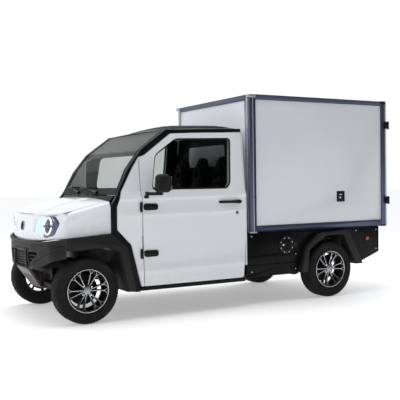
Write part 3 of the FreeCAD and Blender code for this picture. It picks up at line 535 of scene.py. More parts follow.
def cap_mesh():
    """Six-sided centre cap with sloping facets."""
    bm = bmesh.new()
    rows = []
    angles = [math.pi * k / 3 for k in range(CAP_SIDES)]
    for along, radius in CAP_SECTION:
        rows.append([bm.verts.new((radius * math.cos(a), along, radius * math.sin(a))) for a in angles])
    bridged(bm, rows)
    capped(bm, rows)
    return bm


def lug_nuts():
    bm = bmesh.new()
    for i in range(LUG_COUNT):
        angle = math.pi / 4 + i * math.pi / 2 + LUG_TURN
        place = Vector((LUG_CIRCLE * math.cos(angle), 0.046, LUG_CIRCLE * math.sin(angle)))
        turn = Matrix.Rotation(-math.pi / 2, 4, "X")
        bmesh.ops.create_cone(bm, cap_ends=True, segments=6, radius1=0.0075, radius2=0.0066, depth=0.016,
                              matrix=Matrix.Translation(place) @ turn)
    return bm


for end in ("front", "rear"):
    for hand, side in (("left", 1), ("right", -1)):
        low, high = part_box("tyre_%s_%s" % (end, hand))
        centre = (low + high) / 2
        body = "wheel_%s_%s" % (end, hand)
        tag = "%s_%s" % (end, hand)
        parts = (("tread_tyre", spun(tyre_rings, TREAD_PITCHES * STEPS_PER_PITCH), "tyre_rubber", None, 28),
                 ("rim_barrel", spun(lambda k: BARREL), "alloy", M["wheel_black"], 30),
                 ("rim_lip", spun(lambda k: LIP, 128), "alloy", None, 50),
                 ("rim_spokes", ribs(RIB_DEPTH, widen=BODY_WIDEN), "alloy", M["wheel_black"], 30),
                 ("rim_ribs", ribs(RIB_FACE_DEPTH, proud=RIB_FACE_PROUD), "alloy", None, 30),
                 ("rim_hub", spun(lambda k: HUB_SECTION, 48), "alloy", M["wheel_black"], 30),
                 ("centre_cap", cap_mesh(), "alloy", M["post_aluminium"], 10),
                 ("lug_nuts", lug_nuts(), "alloy", None, 20))
        for part, shape, slot, material, smooth in parts:
            mesh = wheel_mesh(shape, part, centre, side)
            piece = add_object("%s_%s" % (part, tag), mesh, body, slot, material, smooth)
            if part == "tread_tyre":
                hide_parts("tyre_" + tag)
            if part == "rim_barrel":
                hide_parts("rim_" + tag)

# ------------------------------------------------------------------ nose: fascia, wings and hood

NOSE_PLAN = [(1.217, 0.668), (1.30, 0.668), (1.40, 0.668), (1.50, 0.667), (1.545, 0.664), (1.580, 0.652),
             (1.608, 0.628), (1.634, 0.594), (1.660, 0.548), (1.682, 0.490), (1.702, 0.420), (1.719, 0.340),
             (1.731, 0.255), (1.740, 0.165), (1.745, 0.080), (1.747, 0.0)]
PLAN_STEPS = 6
CORNER_TOP = (1.583, 0.650)
CORNER_FOOT = (1.640, 0.585)
CREASE_RIDGE = 0.007
WING_DISH = 0.009
CLIP_FOOT_Z = 0.654
FASCIA_TOP_Z = 0.874
SHELL_THICKNESS = 0.010
HOOD_HALF_WIDTH = 0.590
HOOD_GAP = 0.005
NOSE_HALF_WIDTH = 0.668


def smooth_path(points, steps):
    """Catmull-Rom curve through the points."""
    path = []
    ends = [points[0]] + list(points) + [points[-1]]
    for before, here, there, after in zip(ends, ends[1:], ends[2:], ends[3:]):
        for k in range(steps):
            t = k / steps
            path.append(tuple(
                0.5 * (2 * b + (c - a) * t + (2 * a - 5 * b + 4 * c - d) * t * t
                        + (3 * b - a - 3 * c + d) * t ** 3)
                for a, b, c, d in zip(before, here, there, after)))
    path.append(tuple(points[-1]))
    return path


def ease(low, high, value):
    t = min(1.0, max(0.0, (value - low) / (high - low)))
    return t * t * (3 - 2 * t)


def between(table, x):
    """Straight-line reading of a table of (x, value)."""
    if x <= table[0][0]:
        return table[0][1]
    for (a, va), (b, vb) in zip(table, table[1:]):
        if x <= b:
            return va + (vb - va) * (x - a) / (b - a)
    return table[-1][1]


EDGE_Z = [(1.10, 1.000), (1.214, 0.966), (1.451, 0.905), (1.600, 0.871), (1.800, 0.826)]
CROWN_Z = [(1.10, 1.026), (1.214, 1.000), (1.451, 0.966), (1.600, 0.926), (1.800, 0.850)]
WING_FOOT_Z = [(1.217, 0.715), (1.600, 0.690), (1.650, 0.681), (1.700, 0.672), (1.747, CLIP_FOOT_Z)]
CLIP_LEVELS = [0.0, 0.03, 0.12, 0.24, 0.36, 0.48, 0.60, 0.70, 0.78, 0.86, 0.93, 1.0]
FRONT_SLOPE = [(0.650, 0.0), (0.700, 0.001), (0.740, 0.004), (0.800, 0.012), (0.862, 0.024), (0.905, 0.056)]


def hood_height(x, y):
    edge, crown = between(EDGE_Z, x), between(CROWN_Z, x)
    share = abs(y) / NOSE_HALF_WIDTH
    return crown - (crown - edge) * share * share


def path_place(path, target):
    return min(range(len(path)), key=lambda i: (path[i][0] - target[0]) ** 2 + (path[i][1] - target[1]) ** 2)


def clip_column(path, top_at, foot_at, index):
    """Points of one column of the fascia or wing, from its foot up to its top flange."""
    last = len(path) - 1

    def along(share):
        place = min(last, max(0.0, foot_at + (top_at - foot_at) * share))
        k = min(last - 1, int(place))
        f = place - k
        x = path[k][0] + (path[k + 1][0] - path[k][0]) * f
        y = path[k][1] + (path[k + 1][1] - path[k][1]) * f
        dx = path[k + 1][0] - path[k][0]
        dy = path[k + 1][1] - path[k][1]
        span = math.hypot(dx, dy) or 1.0
        return x, y, -dy / span, dx / span

    x = along(1.0)[0]
    front = ease(-14, 10, index)
    foot = between(WING_FOOT_Z, along(0.0)[0])
    wing_top = between(EDGE_Z, x) + 0.003
    top = wing_top * (1 - front) + FASCIA_TOP_Z * front
    column = []
    body_top = top - 0.050 * (1 - front) - 0.006 * front
    for share in CLIP_LEVELS:
        z = foot + (body_top - foot) * share
        px, py, nx, ny = along(share)
        hollow = math.sin(math.pi * min(1, share * 1.04))
        dish = WING_DISH * ease(0, -10, index) * ease(-42, -10, index) * hollow
        ridge = CREASE_RIDGE * max(0.0, 1 - abs(index) / 3.2) * (1 - 0.5 * share)
        inset = dish - ridge * 0.4
        inset += between(FRONT_SLOPE, z) * front
        inset += 0.005 * (1 - ease(0.0, 0.07, share)) * front
        column.append((px - abs(nx) * inset, py - abs(ny) * inset, z))
    px, py, nx, ny = along(1.0)
    slope = between(FRONT_SLOPE, top) * front
    for inward, rise in ((0.004, 0.006), (0.020, 0.036), (0.026, 0.044), (0.036, 0.050)):
        inset = inward * (1 - front) + (slope + 0.004 + inward * 0.25) * front
        z = body_top + rise * (1 - front) + 0.006 * front
        column.append((px - abs(nx) * inset, py - abs(ny) * inset, z))
    x_in = min(px - abs(nx) * 0.04 * front, 1.72)
    y_in = py - (0.060 * (1 - front) + 0.02 * front) * abs(ny)
    y_in = min(y_in, HOOD_HALF_WIDTH + HOOD_GAP + 0.001 + 0.2 * front) if front < 0.5 else y_in
    top_z = hood_height(x, y_in) * (1 - front) + top * front
    column.append((x_in, y_in, top_z))
    column.append((x_in - 0.004 * front, y_in - 0.002 * (1 - front), top_z - 0.022))
    return column


def grid_mesh(name, columns):
    bm = bmesh.new()
    rows = [[bm.verts.new(point) for point in column] for column in columns]
    for here, there in zip(rows, rows[1:]):
        for i in range(len(here) - 1):
            bm.faces.new((here[i], there[i], there[i + 1], here[i + 1]))
    bmesh.ops.remove_doubles(bm, verts=bm.verts, dist=1e-5)
    return finished_mesh(bm, name)


def facing(mesh, inside):
    """Turns the mesh's faces, if need be, so that they look away from an inside point."""
    inside = Vector(inside)
    score = sum((face.center - inside).dot(face.normal) * face.area for face in mesh.polygons)
    if score < 0:
        mesh.flip_normals()
    return mesh


def outline_prism(name, points, place, depth_vector):
    """Prism on a closed outline; place(a, b) puts an outline point in space."""
    bm = bmesh.new()
    low = [bm.verts.new(place(a, b)) for a, b in points]
    high = [bm.verts.new(v.co + Vector(depth_vector)) for v in low]
    bm.faces.new(low)
    bm.faces.new(list(reversed(high)))
    for i in range(len(low)):
        j = (i + 1) % len(low)
        bm.faces.new((low[j], low[i], high[i], high[j]))
    return finished_mesh(bm, name)


def rounded(points, radius, steps=4):
    """Closed outline with rounded corners."""
    out = []
    count = len(points)
    for i in range(count):
        here = Vector(points[i])
        before = Vector(points[i - 1]) - here
        after = Vector(points[(i + 1) % count]) - here
        reach = min(radius, before.length * 0.45, after.length * 0.45)
        start, end = here + before.normalized() * reach, here + after.normalized() * reach
        for k in range(steps + 1):
            t = k / steps
            out.append(tuple(start * (1 - t) ** 2 + here * 2 * t * (1 - t) + end * t * t))
    return out


def carved(mesh, *cutters):
    """Mesh with the cutter meshes taken away."""
    holders = []
    for cutter in cutters:
        obj = bpy.data.objects.new("cutter", cutter)
        scene.collection.objects.link(obj)
        holders.append(obj)
    result = modified(mesh, *[("BOOLEAN", dict(operation="DIFFERENCE", object=obj, solver="EXACT",
                                               use_self=True))
                              for obj in holders])
    for obj in holders:
        bpy.data.objects.remove(obj)
    return result


def mirrored_mesh(mesh):
    copy = mesh.copy()
    copy.transform(Matrix.Scale(-1, 4, (0, 1, 0)))
    copy.flip_normals()
    return copy


plan_path = smooth_path(NOSE_PLAN, PLAN_STEPS)
corner_top = path_place(plan_path, CORNER_TOP)
corner_foot = path_place(plan_path, CORNER_FOOT)
columns = []
for i in range(-corner_top, len(plan_path) - corner_top):
    top_at = corner_top + i
    if i <= 0:
        foot_at = corner_foot * (top_at / corner_top)
    else:
        last = len(plan_path) - 1
        foot_at = corner_foot + (last - corner_foot) * i / (last - corner_top)
    columns.append(clip_column(plan_path, top_at, foot_at, i))
columns[-1] = [(x, 0.0, z) for x, y, z in columns[-1]]
columns += [[(x, -y, z) for x, y, z in column] for column in reversed(columns[:-1])]
clip_skin = modified(facing(grid_mesh("clip", columns), (1.2, 0, 0.75)),
                     ("SOLIDIFY", dict(thickness=SHELL_THICKNESS, offset=-1)))
LAMP_OUTLINE = [(0.276, 0.716), (0.284, 0.832), (0.330, 0.854), (0.545, 0.864), (0.598, 0.808),
                (0.562, 0.712), (0.470, 0.690)]
lamp_cutters = []
for side in (1, -1):
    lamp_cutters.append(outline_prism("lamp_hole", [(y * side, z) for y, z in rounded(LAMP_OUTLINE, 0.020)],
                                      lambda y, z: (1.50, y, z), (0.35, 0, 0)))
clip_skin = carved(clip_skin, *lamp_cutters)
clip = add_object("nose_panel", bevelled(clip_skin, 0.003, 2, 50), "truck", "white_plastic", smooth=35)
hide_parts("front_clip")

# Hood: pressed panel with a raised middle that ends in a chamfered lip
RAISED_EDGE = [(1.10, 0.250), (1.30, 0.262), (1.45, 0.290), (1.60, 0.335), (1.72, 0.360)]
RAISE = 0.009
HOOD_REAR_X = 1.219
HOOD_STEPS = 34
LIP_X = [(0.0, 1.668), (0.20, 1.664), (0.345, 1.640), (0.40, 1.640)]
HOOD_FRONT = [(0.0, 1.716), (0.30, 1.700), (0.45, 1.672), (0.53, 1.640), (0.590, 1.585)]


def hood_point(share_x, y):
    """Point on the hood's upper face; share_x runs 0 at the rear to 1 at the front edge."""
    front_x = between(HOOD_FRONT, abs(y))
    x = HOOD_REAR_X + (front_x - HOOD_REAR_X) * share_x
    raised_y = between(RAISED_EDGE, x)
    z = hood_height(x, y) + 0.002
    z += RAISE * (1 - ease(raised_y - 0.012, raised_y + 0.016, abs(y))) * ease(1.22, 1.30, x)
    lip_x = between(LIP_X, abs(y))
    droop = ease(0.0, 1.0, max(0.0, (x - lip_x) / max(0.02, front_x - lip_x)))
    z -= 0.020 * droop * (1 - ease(0.36, 0.50, abs(y)))
    z = max(z, FASCIA_TOP_Z + 0.004)
    return x, y, z


hood_columns = []
HOOD_ACROSS = [0.0, 0.06, 0.12, 0.18, 0.22, 0.25, 0.262, 0.275, 0.29, 0.305, 0.32, 0.335, 0.35, 0.365, 0.38,
               0.42, 0.46, 0.50, 0.53, 0.555, 0.575, 0.586, 0.590]
for y in [-v for v in reversed(HOOD_ACROSS[1:])] + HOOD_ACROSS:
    column = [hood_point(k / HOOD_STEPS, y) for k in range(HOOD_STEPS + 1)]
    x, _, z = column[-1]
    column.append((x + 0.002, y, z - 0.010))
    edge_drop = 0.004 if abs(y) > 0.588 else 0.0
    hood_columns.append([(x, y, z - edge_drop) for x, y, z in column])
hood_mesh = modified(facing(grid_mesh("hood", hood_columns), (1.4, 0, 0)),
                     ("SOLIDIFY", dict(thickness=0.006, offset=-1)))
hood_panel = add_object("hood_panel", bevelled(hood_mesh, 0.002, 2, 50), "hood", "white_paint", smooth=30)
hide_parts("hood")

# ------------------------------------------------------------------ headlights and badge

LAMP_CENTRE_Y = 0.462
LAMP_CENTRE_Z = 0.782
RING_HALF_WIDTH = 0.050
RING_HALF_HEIGHT = 0.067
LAMP_DEPTH = 0.018
GLOW_INNER_Y = 0.272
GLOW_OUTER_Y = 0.420


def fascia_x(y, z):
    """Forward place of the fascia's face at a point across it."""
    best = min(plan_path, key=lambda p: abs(p[1] - abs(y)))
    return best[0] - between(FRONT_SLOPE, z)


def fascia_patch(name, points, setback, thickness, side, rows=10):
    """Thin plate that follows the fascia behind its face; points are (y, z) of a closed outline."""
    low_y, high_y = min(p[0] for p in points), max(p[0] for p in points)
    low_z, high_z = min(p[1] for p in points), max(p[1] for p in points)
    columns = []
    for i in range(rows + 1):
        y = low_y + (high_y - low_y) * i / rows
        columns.append([(fascia_x(y, low_z + (high_z - low_z) * k / rows) - setback, y * side,
                         low_z + (high_z - low_z) * k / rows) for k in range(rows + 1)])
    sheet = grid_mesh(name, columns)
    sheet = modified(facing(sheet, (0, 0, 0.78)), ("SOLIDIFY", dict(thickness=thickness, offset=-1)))
    keep = outline_prism("keep", [(y * side, z) for y, z in points], lambda y, z: (1.45, y, z), (0.4, 0, 0))
    holder = bpy.data.objects.new("keep", keep)
    scene.collection.objects.link(holder)
    result = modified(sheet, ("BOOLEAN", dict(operation="INTERSECT", object=holder, solver="EXACT")))
    bpy.data.objects.remove(holder)
    return result


def lamp_frame(side, z=LAMP_CENTRE_Z, y=LAMP_CENTRE_Y):
    """Matrix whose Z axis looks out of the headlight."""
    outward = Vector((0.95, 0.27 * side, 0.14)).normalized()
    across = Vector((0, 0, 1)).cross(outward).normalized()
    rise = outward.cross(across)
    centre = Vector((fascia_x(y, z) - 0.016, y * side, z))
    return Matrix.Translation(centre) @ Matrix((across, rise, outward)).transposed().to_4x4()


def oval_ring(bm, turn, half_width, half_height, tube, start=0.0, end=2 * math.pi, steps=40, sides=8,
              rise=0.0):
    """Tube bent into an oval, or into an arc of one."""
    whole = end - start > 2 * math.pi - 1e-3
    rows = []
    for i in range(steps if whole else steps + 1):
        a = start + (end - start) * i / steps
        middle = Vector((half_width * math.cos(a), half_height * math.sin(a), rise))
        out = Vector((math.cos(a), math.sin(a), 0))
        rows.append([bm.verts.new(turn @ (middle + out * tube * math.cos(b)
                                          + Vector((0, 0, tube * math.sin(b)))))
                     for b in (2 * math.pi * k / sides for k in range(sides))])
    bridged(bm, rows + rows[:1] if whole else rows)
    if not whole:
        capped(bm, rows)


def turned(bm, turn, profile, steps=32):
    """Surface of revolution about the frame's Z axis; profile points are (radius, height)."""
    rows = [[bm.verts.new(turn @ Vector((r * math.cos(2 * math.pi * k / steps),
                                         r * math.sin(2 * math.pi * k / steps), h))) for k in range(steps)]
            for r, h in profile]
    bridged(bm, rows)
    capped(bm, rows)


LENS_DOME = [(0.024, 0.0), (0.024, 0.006), (0.022, 0.011), (0.017, 0.0165), (0.010, 0.020), (0.003, 0.0212)]
BEZEL = [(0.030, -0.004), (0.030, 0.004), (0.0275, 0.0065), (0.0245, 0.004), (0.0245, -0.004)]
for hand, side in (("left", 1), ("right", -1)):
    inner = rounded([(GLOW_INNER_Y, 0.712), (0.280, 0.834), (0.330, 0.857), (GLOW_OUTER_Y, 0.861),
                     (0.398, 0.780), (GLOW_OUTER_Y, 0.690)], 0.010)
    add_object("lamp_glow_" + hand, fascia_patch("glow", inner, 0.007, 0.006, side), "truck", "lamp_shell",
               M["lamp_glow"], smooth=30)
    shell = add_object("lamp_shell_" + hand, fascia_patch("shell", rounded(LAMP_OUTLINE, 0.02), LAMP_DEPTH,
                                                          0.006, side), "truck", "lamp_shell", smooth=30)
    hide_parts("headlight_housings")
    turn = lamp_frame(side)
    bm = bmesh.new()
    turned(bm, turn @ Matrix.Translation((0, 0, -0.012)), [(0.046, -0.004), (0.046, 0.003), (0.042, 0.006)])
    add_object("lamp_bowl_" + hand, finished_mesh(bm, "bowl"), "truck", "lamp_shell", M["lamp_navy"],
               smooth=40)
    bm = bmesh.new()
    gap = math.radians(9)
    for start in (gap, math.pi + gap):
        oval_ring(bm, turn, RING_HALF_WIDTH, RING_HALF_HEIGHT, 0.0058, start, start + math.pi - 2 * gap,
                  rise=0.006)
    add_object("lamp_ring_" + hand, finished_mesh(bm, "ring"), "truck", "lamp_shell", M["lamp_light"],
               smooth=60)
    for level, tag in ((0.029, "upper"), (-0.029, "lower")):
        place = turn @ Matrix.Translation((0, level, -0.003))
        bm = bmesh.new()
        turned(bm, place, LENS_DOME)
        add_object("projector_%s_%s" % (tag, hand), finished_mesh(bm, "dome"), "truck",
                   "lamp_shell", M["projector_glass"], smooth=60)
        bm = bmesh.new()
        turned(bm, place, BEZEL)
        add_object("bezel_%s_%s" % (tag, hand), finished_mesh(bm, "bezel"), "truck",
                   "lamp_shell", M["lamp_navy"], smooth=40)

BADGE_Z = 0.773
badge_place = Vector((fascia_x(0, BADGE_Z), 0, BADGE_Z))
badge_out = Vector((0.986, 0, 0.165)).normalized()
badge_turn = Matrix.Translation(badge_place) @ badge_out.to_track_quat("Z", "Y").to_matrix().to_4x4()
bm = bmesh.new()
turned(bm, badge_turn, [(0.041, -0.004), (0.041, 0.004), (0.038, 0.006), (0.020, 0.0075), (0.006, 0.008)])
add_object("badge_disc", finished_mesh(bm, "badge"), "truck", "black_steel", M["badge_navy"], 30)
bm = bmesh.new()
oval_ring(bm, badge_turn, 0.0405, 0.0405, 0.0020, rise=0.004)
add_object("badge_rim", finished_mesh(bm, "badge_rim"), "truck", "alloy", smooth=60)

# ------------------------------------------------------------------ cab trim


SHOULDER_Z = 1.0
BELT_Z = 1.05
SIDE_LINE = [(0.2, 0.684), (SHOULDER_Z, 0.684), (BELT_Z, 0.662), (1.75, 0.602)]


def side_y(z):
    """Distance of the body side from the middle at height z."""
    return between(SIDE_LINE, z)


def filled(outlines):
    """Flat sheet inside the first outline, with the others as holes; points are (x, z)."""
    bm = bmesh.new()
    loops = []
    for outline in outlines:
        verts = [bm.verts.new((x, 0, z)) for x, z in outline]
        loops += [bm.edges.new((verts[i], verts[(i + 1) % len(verts)])) for i in range(len(verts))]
    bmesh.ops.triangle_fill(bm, use_beauty=True, edges=loops)
    return bm


def sliced(bm, cuts):
    """Adds edges where the planes, each (place, normal), cross the sheet."""
    for place, normal in cuts:
        geometry = bm.verts[:] + bm.edges[:] + bm.faces[:]
        bmesh.ops.bisect_plane(bm, geom=geometry, plane_co=place, plane_no=normal)


def side_plate(name, outlines, depth, thickness, body, slot, material=None, bevel=0.002, smooth=35):
    """Plates that follow both body sides at a depth behind them."""
    made = []
    for hand, side in (("left", 1), ("right", -1)):
        bm = filled(outlines)
        sliced(bm, [((0, 0, level), (0, 0, 1)) for level in (SHOULDER_Z, BELT_Z)])
        for vert in bm.verts:
            vert.co.y = (side_y(vert.co.z) - depth) * side
        sheet = finished_mesh(bm, name)
        sheet = facing(sheet, (vert_centre(sheet).x, 0, 1.0))
        sheet = modified(sheet, ("SOLIDIFY", dict(thickness=thickness, offset=-1)))
        if bevel:
            sheet = bevelled(sheet, bevel, 2, 50)
        made.append(add_object("%s_%s" % (name, hand), sheet, body.replace("left", hand), slot, material,
                               smooth))
    return made


def vert_centre(mesh):
    return sum((vert.co for vert in mesh.vertices), Vector()) / len(mesh.vertices)


WINDOW_CUT = rounded([(0.846, 1.056), (0.806, 1.350), (0.604, 1.490), (0.050, 1.503), (0.074, 1.104),
                      (0.110, 1.056)], 0.035)
WINDOW_SEAL = rounded([(0.833, 1.070), (0.795, 1.342), (0.600, 1.476), (0.064, 1.489), (0.088, 1.106),
                       (0.118, 1.070)], 0.030)
DOOR_CARD = rounded([(-0.052, 1.045), (-0.050, 0.640), (-0.026, 0.276), (0.928, 0.276), (0.944, 1.322),
                     (0.896, 1.338), (0.642, 1.522), (-0.052, 1.546)], 0.02)
side_plate("window_seal", [WINDOW_CUT, WINDOW_SEAL], 0.0045, 0.006, "door_left", "charcoal", M["seal_black"])
side_plate("door_card", [DOOR_CARD, WINDOW_SEAL], 0.058, 0.004, "door_left", "charcoal")

# ------------------------------------------------------------------ doors and wings

SKIN_LIFT = 0.0045
HANDLE_PLACE = (0.098, 0.942)
DIMPLE_HALF_LENGTH = 0.085
DIMPLE_HALF_HEIGHT = 0.038
DOOR_EDGE = rounded([(-0.058, 1.045), (-0.060, 0.640), (-0.033, 0.270), (0.9335, 0.270), (0.950, 1.325),
                     (0.900, 1.342), (0.645, 1.528), (-0.058, 1.553)], 0.02)
QUARTER_EDGE = rounded([(0.940, 0.270), (0.959, 0.270), (1.046, 0.615), (1.166, 0.742), (1.164, 0.924),
                        (1.117, 1.051), (1.003, 1.253), (0.957, 1.324)], 0.012)
CREASES = [(0.392, 0.0050), (0.856, 0.0036), (0.992, 0.0056)]


def pressing(x, z, rear, front):
    """Outward lift of the pressed skin at a point of the body side."""
    lift = SKIN_LIFT - 0.0016 * (1 - ease(0.0, 0.03, min(x - rear, front - x)))
    for level, depth in CREASES:
        slant = level + 0.016 * (0.5 - x)
        lift += depth * (math.exp(-((z - slant) / 0.010) ** 2) if z < slant else
                         math.exp(-((z - slant) / 0.045) ** 2))
    lift -= 0.0020 * ease(0.40, 0.60, z) * (1 - ease(0.62, 0.84, z))
    reach = math.hypot((x - HANDLE_PLACE[0]) / DIMPLE_HALF_LENGTH, (z - HANDLE_PLACE[1]) / DIMPLE_HALF_HEIGHT)
    if reach < 1.3:
        lift -= (lift - 0.0006) * (1 - ease(0.55, 1.3, reach))
    return max(0.0006, lift)


def body_skin(name, outlines, body, rear, front, step=0.022):
    """Thin pressed skin over both body sides, with creases."""
    for hand, side in (("left", 1), ("right", -1)):
        bm = filled(outlines)
        low_z, high_z = min(v.co.z for v in bm.verts), max(v.co.z for v in bm.verts)
        levels = [low_z + step * k for k in range(1, int((high_z - low_z) / step))]
        levels += [SHOULDER_Z, BELT_Z] + [0.905 + 0.0125 * k for k in range(7)]
        for crease, _ in CREASES:
            levels += [crease - 0.004, crease + 0.002, crease + 0.008]
        stations = [rear + 2.2 * step * k for k in range(1, int((front - rear) / step / 2.2))]
        stations += [HANDLE_PLACE[0] + 0.017 * k for k in range(-6, 7)] + [rear + 0.01, front - 0.01]
        cuts = [((0, 0, z), (0, 0, 1)) for z in sorted(set(levels))]
        cuts += [((x, 0, 0), (1, 0, 0)) for x in sorted(set(stations)) if rear < x < front]
        sliced(bm, cuts)
        for vert in bm.verts:
            lift = pressing(vert.co.x, vert.co.z, rear, front)
            vert.co.y = (side_y(vert.co.z) + lift) * side
        sheet = finished_mesh(bm, name)
        sheet = modified(facing(sheet, (0.4, 0, 0.9)), ("SOLIDIFY", dict(thickness=0.0045, offset=-1)))
        add_object("%s_%s" % (name, hand), sheet, body.replace("left", hand), "white_paint", smooth=24)


body_skin("door_skin", [DOOR_EDGE, WINDOW_CUT], "door_left", -0.060, 0.951)
body_skin("wing_skin", [QUARTER_EDGE], "truck", 0.930, 1.166, 0.03)


def box_mesh(name, low, high, taper=(0, 0, 0, 0), bevel=0.004, segments=3):
    """Bevelled block; taper pulls in the low-X face's Y and Z ends and the top face's X and Y ends."""
    bm = bmesh.new()
    bmesh.ops.create_cube(bm, size=1)
    low, high = Vector(low), Vector(high)
    for vert in bm.verts:
        share = vert.co + Vector((0.5, 0.5, 0.5))
        vert.co = Vector([low[i] + (high[i] - low[i]) * share[i] for i in range(3)])
        middle = (low + high) / 2
        if share.x < 0.5:
            vert.co.y += (middle.y - vert.co.y) * taper[0]
            vert.co.z += (middle.z - vert.co.z) * taper[1]
        if share.z > 0.5:
            vert.co.x += (middle.x - vert.co.x) * taper[2]
            vert.co.y += (middle.y - vert.co.y) * taper[3]
    return bevelled(finished_mesh(bm, name), bevel, segments, 30) if bevel else finished_mesh(bm, name)


def both_sides(name, mesh, body, slot, material=None, smooth=40):
    """A left piece and its mirror image on the right."""
    pair = [add_object(name + "_left", mesh, body, slot, material, smooth)]
    pair.append(add_object(name + "_right", mirrored_mesh(mesh), body.replace("left", "right"), slot,
                           material, smooth))
    return pair


def drum(name, centre, axis, radius, depth, bevel=0.001, segments=24):
    """Short cylinder centred on a point."""
    bm = bmesh.new()
    turn = Vector(axis).to_track_quat("Z", "Y").to_matrix().to_4x4()
    bmesh.ops.create_cone(bm, cap_ends=True, segments=segments, radius1=radius, radius2=radius, depth=depth,
                          matrix=Matrix.Translation(centre) @ turn)
    mesh = finished_mesh(bm, name)
    return bevelled(mesh, bevel, 2, 40) if bevel else mesh


HINGE_LEVELS = (0.881, 0.498)
HINGE_PLATE = [(0.936, 0.008), (0.936, 0.066), (0.806, 0.063), (0.806, 0.011)]
for level, tag in zip(HINGE_LEVELS, ("upper", "lower")):
    plate = outline_prism("plate", [(x, z + level) for x, z in rounded(HINGE_PLATE, 0.026)],
                          lambda x, z: (x, 0.6855, z), (0, 0.0125, 0))
    plates = both_sides("hinge_plate_" + tag, bevelled(plate, 0.004, 3, 40), "door_left", "black_steel")
    for plate, hand in zip(plates, ("left", "right")):
        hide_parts("door_hinges_" + hand)
    rib = outline_prism("rib", [(x, z + level) for x, z in rounded([(0.925, 0.026), (0.925, 0.048),
                                                                    (0.83, 0.044), (0.83, 0.030)], 0.009)],
                        lambda x, z: (x, 0.697, z), (0, 0.004, 0))
    both_sides("hinge_rib_" + tag, bevelled(rib, 0.0018, 2, 40), "door_left", "black_steel")
    both_sides("hinge_pin_" + tag, drum("pin", (0.958, 0.697, level + 0.037), (0, 0, 1), 0.0105, 0.080),
               "door_left", "black_steel")
    both_sides("hinge_leaf_" + tag, box_mesh("leaf", (0.958, 0.6845, level + 0.004),
                                             (0.970, 0.696, level + 0.070),
                                             bevel=0.003), "truck", "black_steel")

HANDLE_SIDES = 12
HANDLE_STATIONS = [(0.214, 0.0065, 0.0075), (0.205, 0.0105, 0.0105), (0.16, 0.0120, 0.0115),
                   (0.08, 0.0125, 0.0115),
                   (0.045, 0.0135, 0.0125), (0.030, 0.0165, 0.0145), (0.008, 0.0165, 0.0145),
                   (-0.004, 0.0130, 0.0120), (-0.008, 0.0070, 0.0070)]
bm = bmesh.new()
rows = []
for x, half_z, half_y in HANDLE_STATIONS:
    middle = Vector((x, 0.7045 - 0.012 * ease(0.17, 0.214, x), 0.940 + 0.004 * x))
    angles = [math.pi * k / 6 for k in range(HANDLE_SIDES)]
    rows.append([bm.verts.new(middle + Vector((0, half_y * math.cos(a), half_z * math.sin(a))))
                 for a in angles])
bridged(bm, rows)
capped(bm, rows)
for piece, node in zip(both_sides("grip", finished_mesh(bm, "grip"), "handle_left", "black_steel", smooth=60),
                       ("door_handle_left", "door_handle_right")):
    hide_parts(node)
both_sides("grip_foot_front", box_mesh("foot", (0.188, 0.684, 0.930), (0.212, 0.702, 0.952)), "door_left",
           "black_steel")
both_sides("grip_foot_rear", box_mesh("foot", (0.002, 0.684, 0.928), (0.034, 0.702, 0.954)), "door_left",
           "black_steel")
both_sides("key_lock", drum("lock", (0.030, 0.6905, 0.844), (0, 1, 0), 0.013, 0.008), "door_left",
           "black_steel")
both_sides("key_slot", box_mesh("slot", (0.0285, 0.693, 0.837), (0.0315, 0.6955, 0.851), bevel=0.0006),
           "door_left", "alloy")

MIRROR_LOW = (0.758, 0.764, 1.036)
MIRROR_HIGH = (0.884, 0.864, 1.186)
head = box_mesh("head", MIRROR_LOW, MIRROR_HIGH, (-0.04, -0.02, 0.10, 0.10), 0.034, 6)
for piece, node in zip(both_sides("mirror_head", head, "mirror_left", "charcoal", smooth=50),
                       ("door_mirror_left", "door_mirror_right")):
    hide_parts(node)
ribs_mesh = bmesh.new()
for k in range(4):
    rib = box_mesh("rib", (0.762, 0.780, 1.052 + 0.016 * k), (0.8785, 0.8665, 1.059 + 0.016 * k), bevel=0.002)
    ribs_mesh.from_mesh(rib)
both_sides("mirror_ribs", finished_mesh(ribs_mesh, "ribs"), "mirror_left", "charcoal")
glass = outline_prism("mirror_glass", rounded([(0.778, 1.058), (0.850, 1.058), (0.846, 1.166),
                                               (0.782, 1.166)], 0.014),
                      lambda y, z: (0.7545, y, z), (0.003, 0, 0))
both_sides("mirror_glass", glass, "mirror_left", "alloy", M["mirror_silver"])
arm = outline_prism("arm", rounded([(0.924, 0.704), (0.924, 0.742), (0.886, 0.806), (0.820, 0.824),
                                    (0.812, 0.780),
                                    (0.872, 0.760), (0.896, 0.704)], 0.012), lambda x, y: (x, y, 1.014),
                    (0, 0, 0.026))
both_sides("mirror_arm", bevelled(arm, 0.006, 3, 40), "mirror_left", "charcoal")
both_sides("mirror_pivot", drum("pivot", (0.908, 0.700, 1.022), (0, 0, 1), 0.0145, 0.044, 0.003),
           "mirror_left", "charcoal")
both_sides("mirror_foot", box_mesh("foot", (0.893, 0.668, 0.988), (0.930, 0.706, 1.0120), bevel=0.004),
           "door_left", "charcoal")

# ------------------------------------------------------------------ cargo box


POST_RADIUS = 0.049
POST_ARC = 84


def post_section():
    """Outline of the rounded front corner extrusion, seen from above."""
    angles = [math.radians(POST_ARC * k / 10) for k in range(11)]
    arc = [(-0.162 + POST_RADIUS * math.cos(a), 0.638 + POST_RADIUS * math.sin(a)) for a in angles]
    return [(-0.113, 0.614)] + arc + [(-0.162, 0.670), (-0.162, 0.614)]


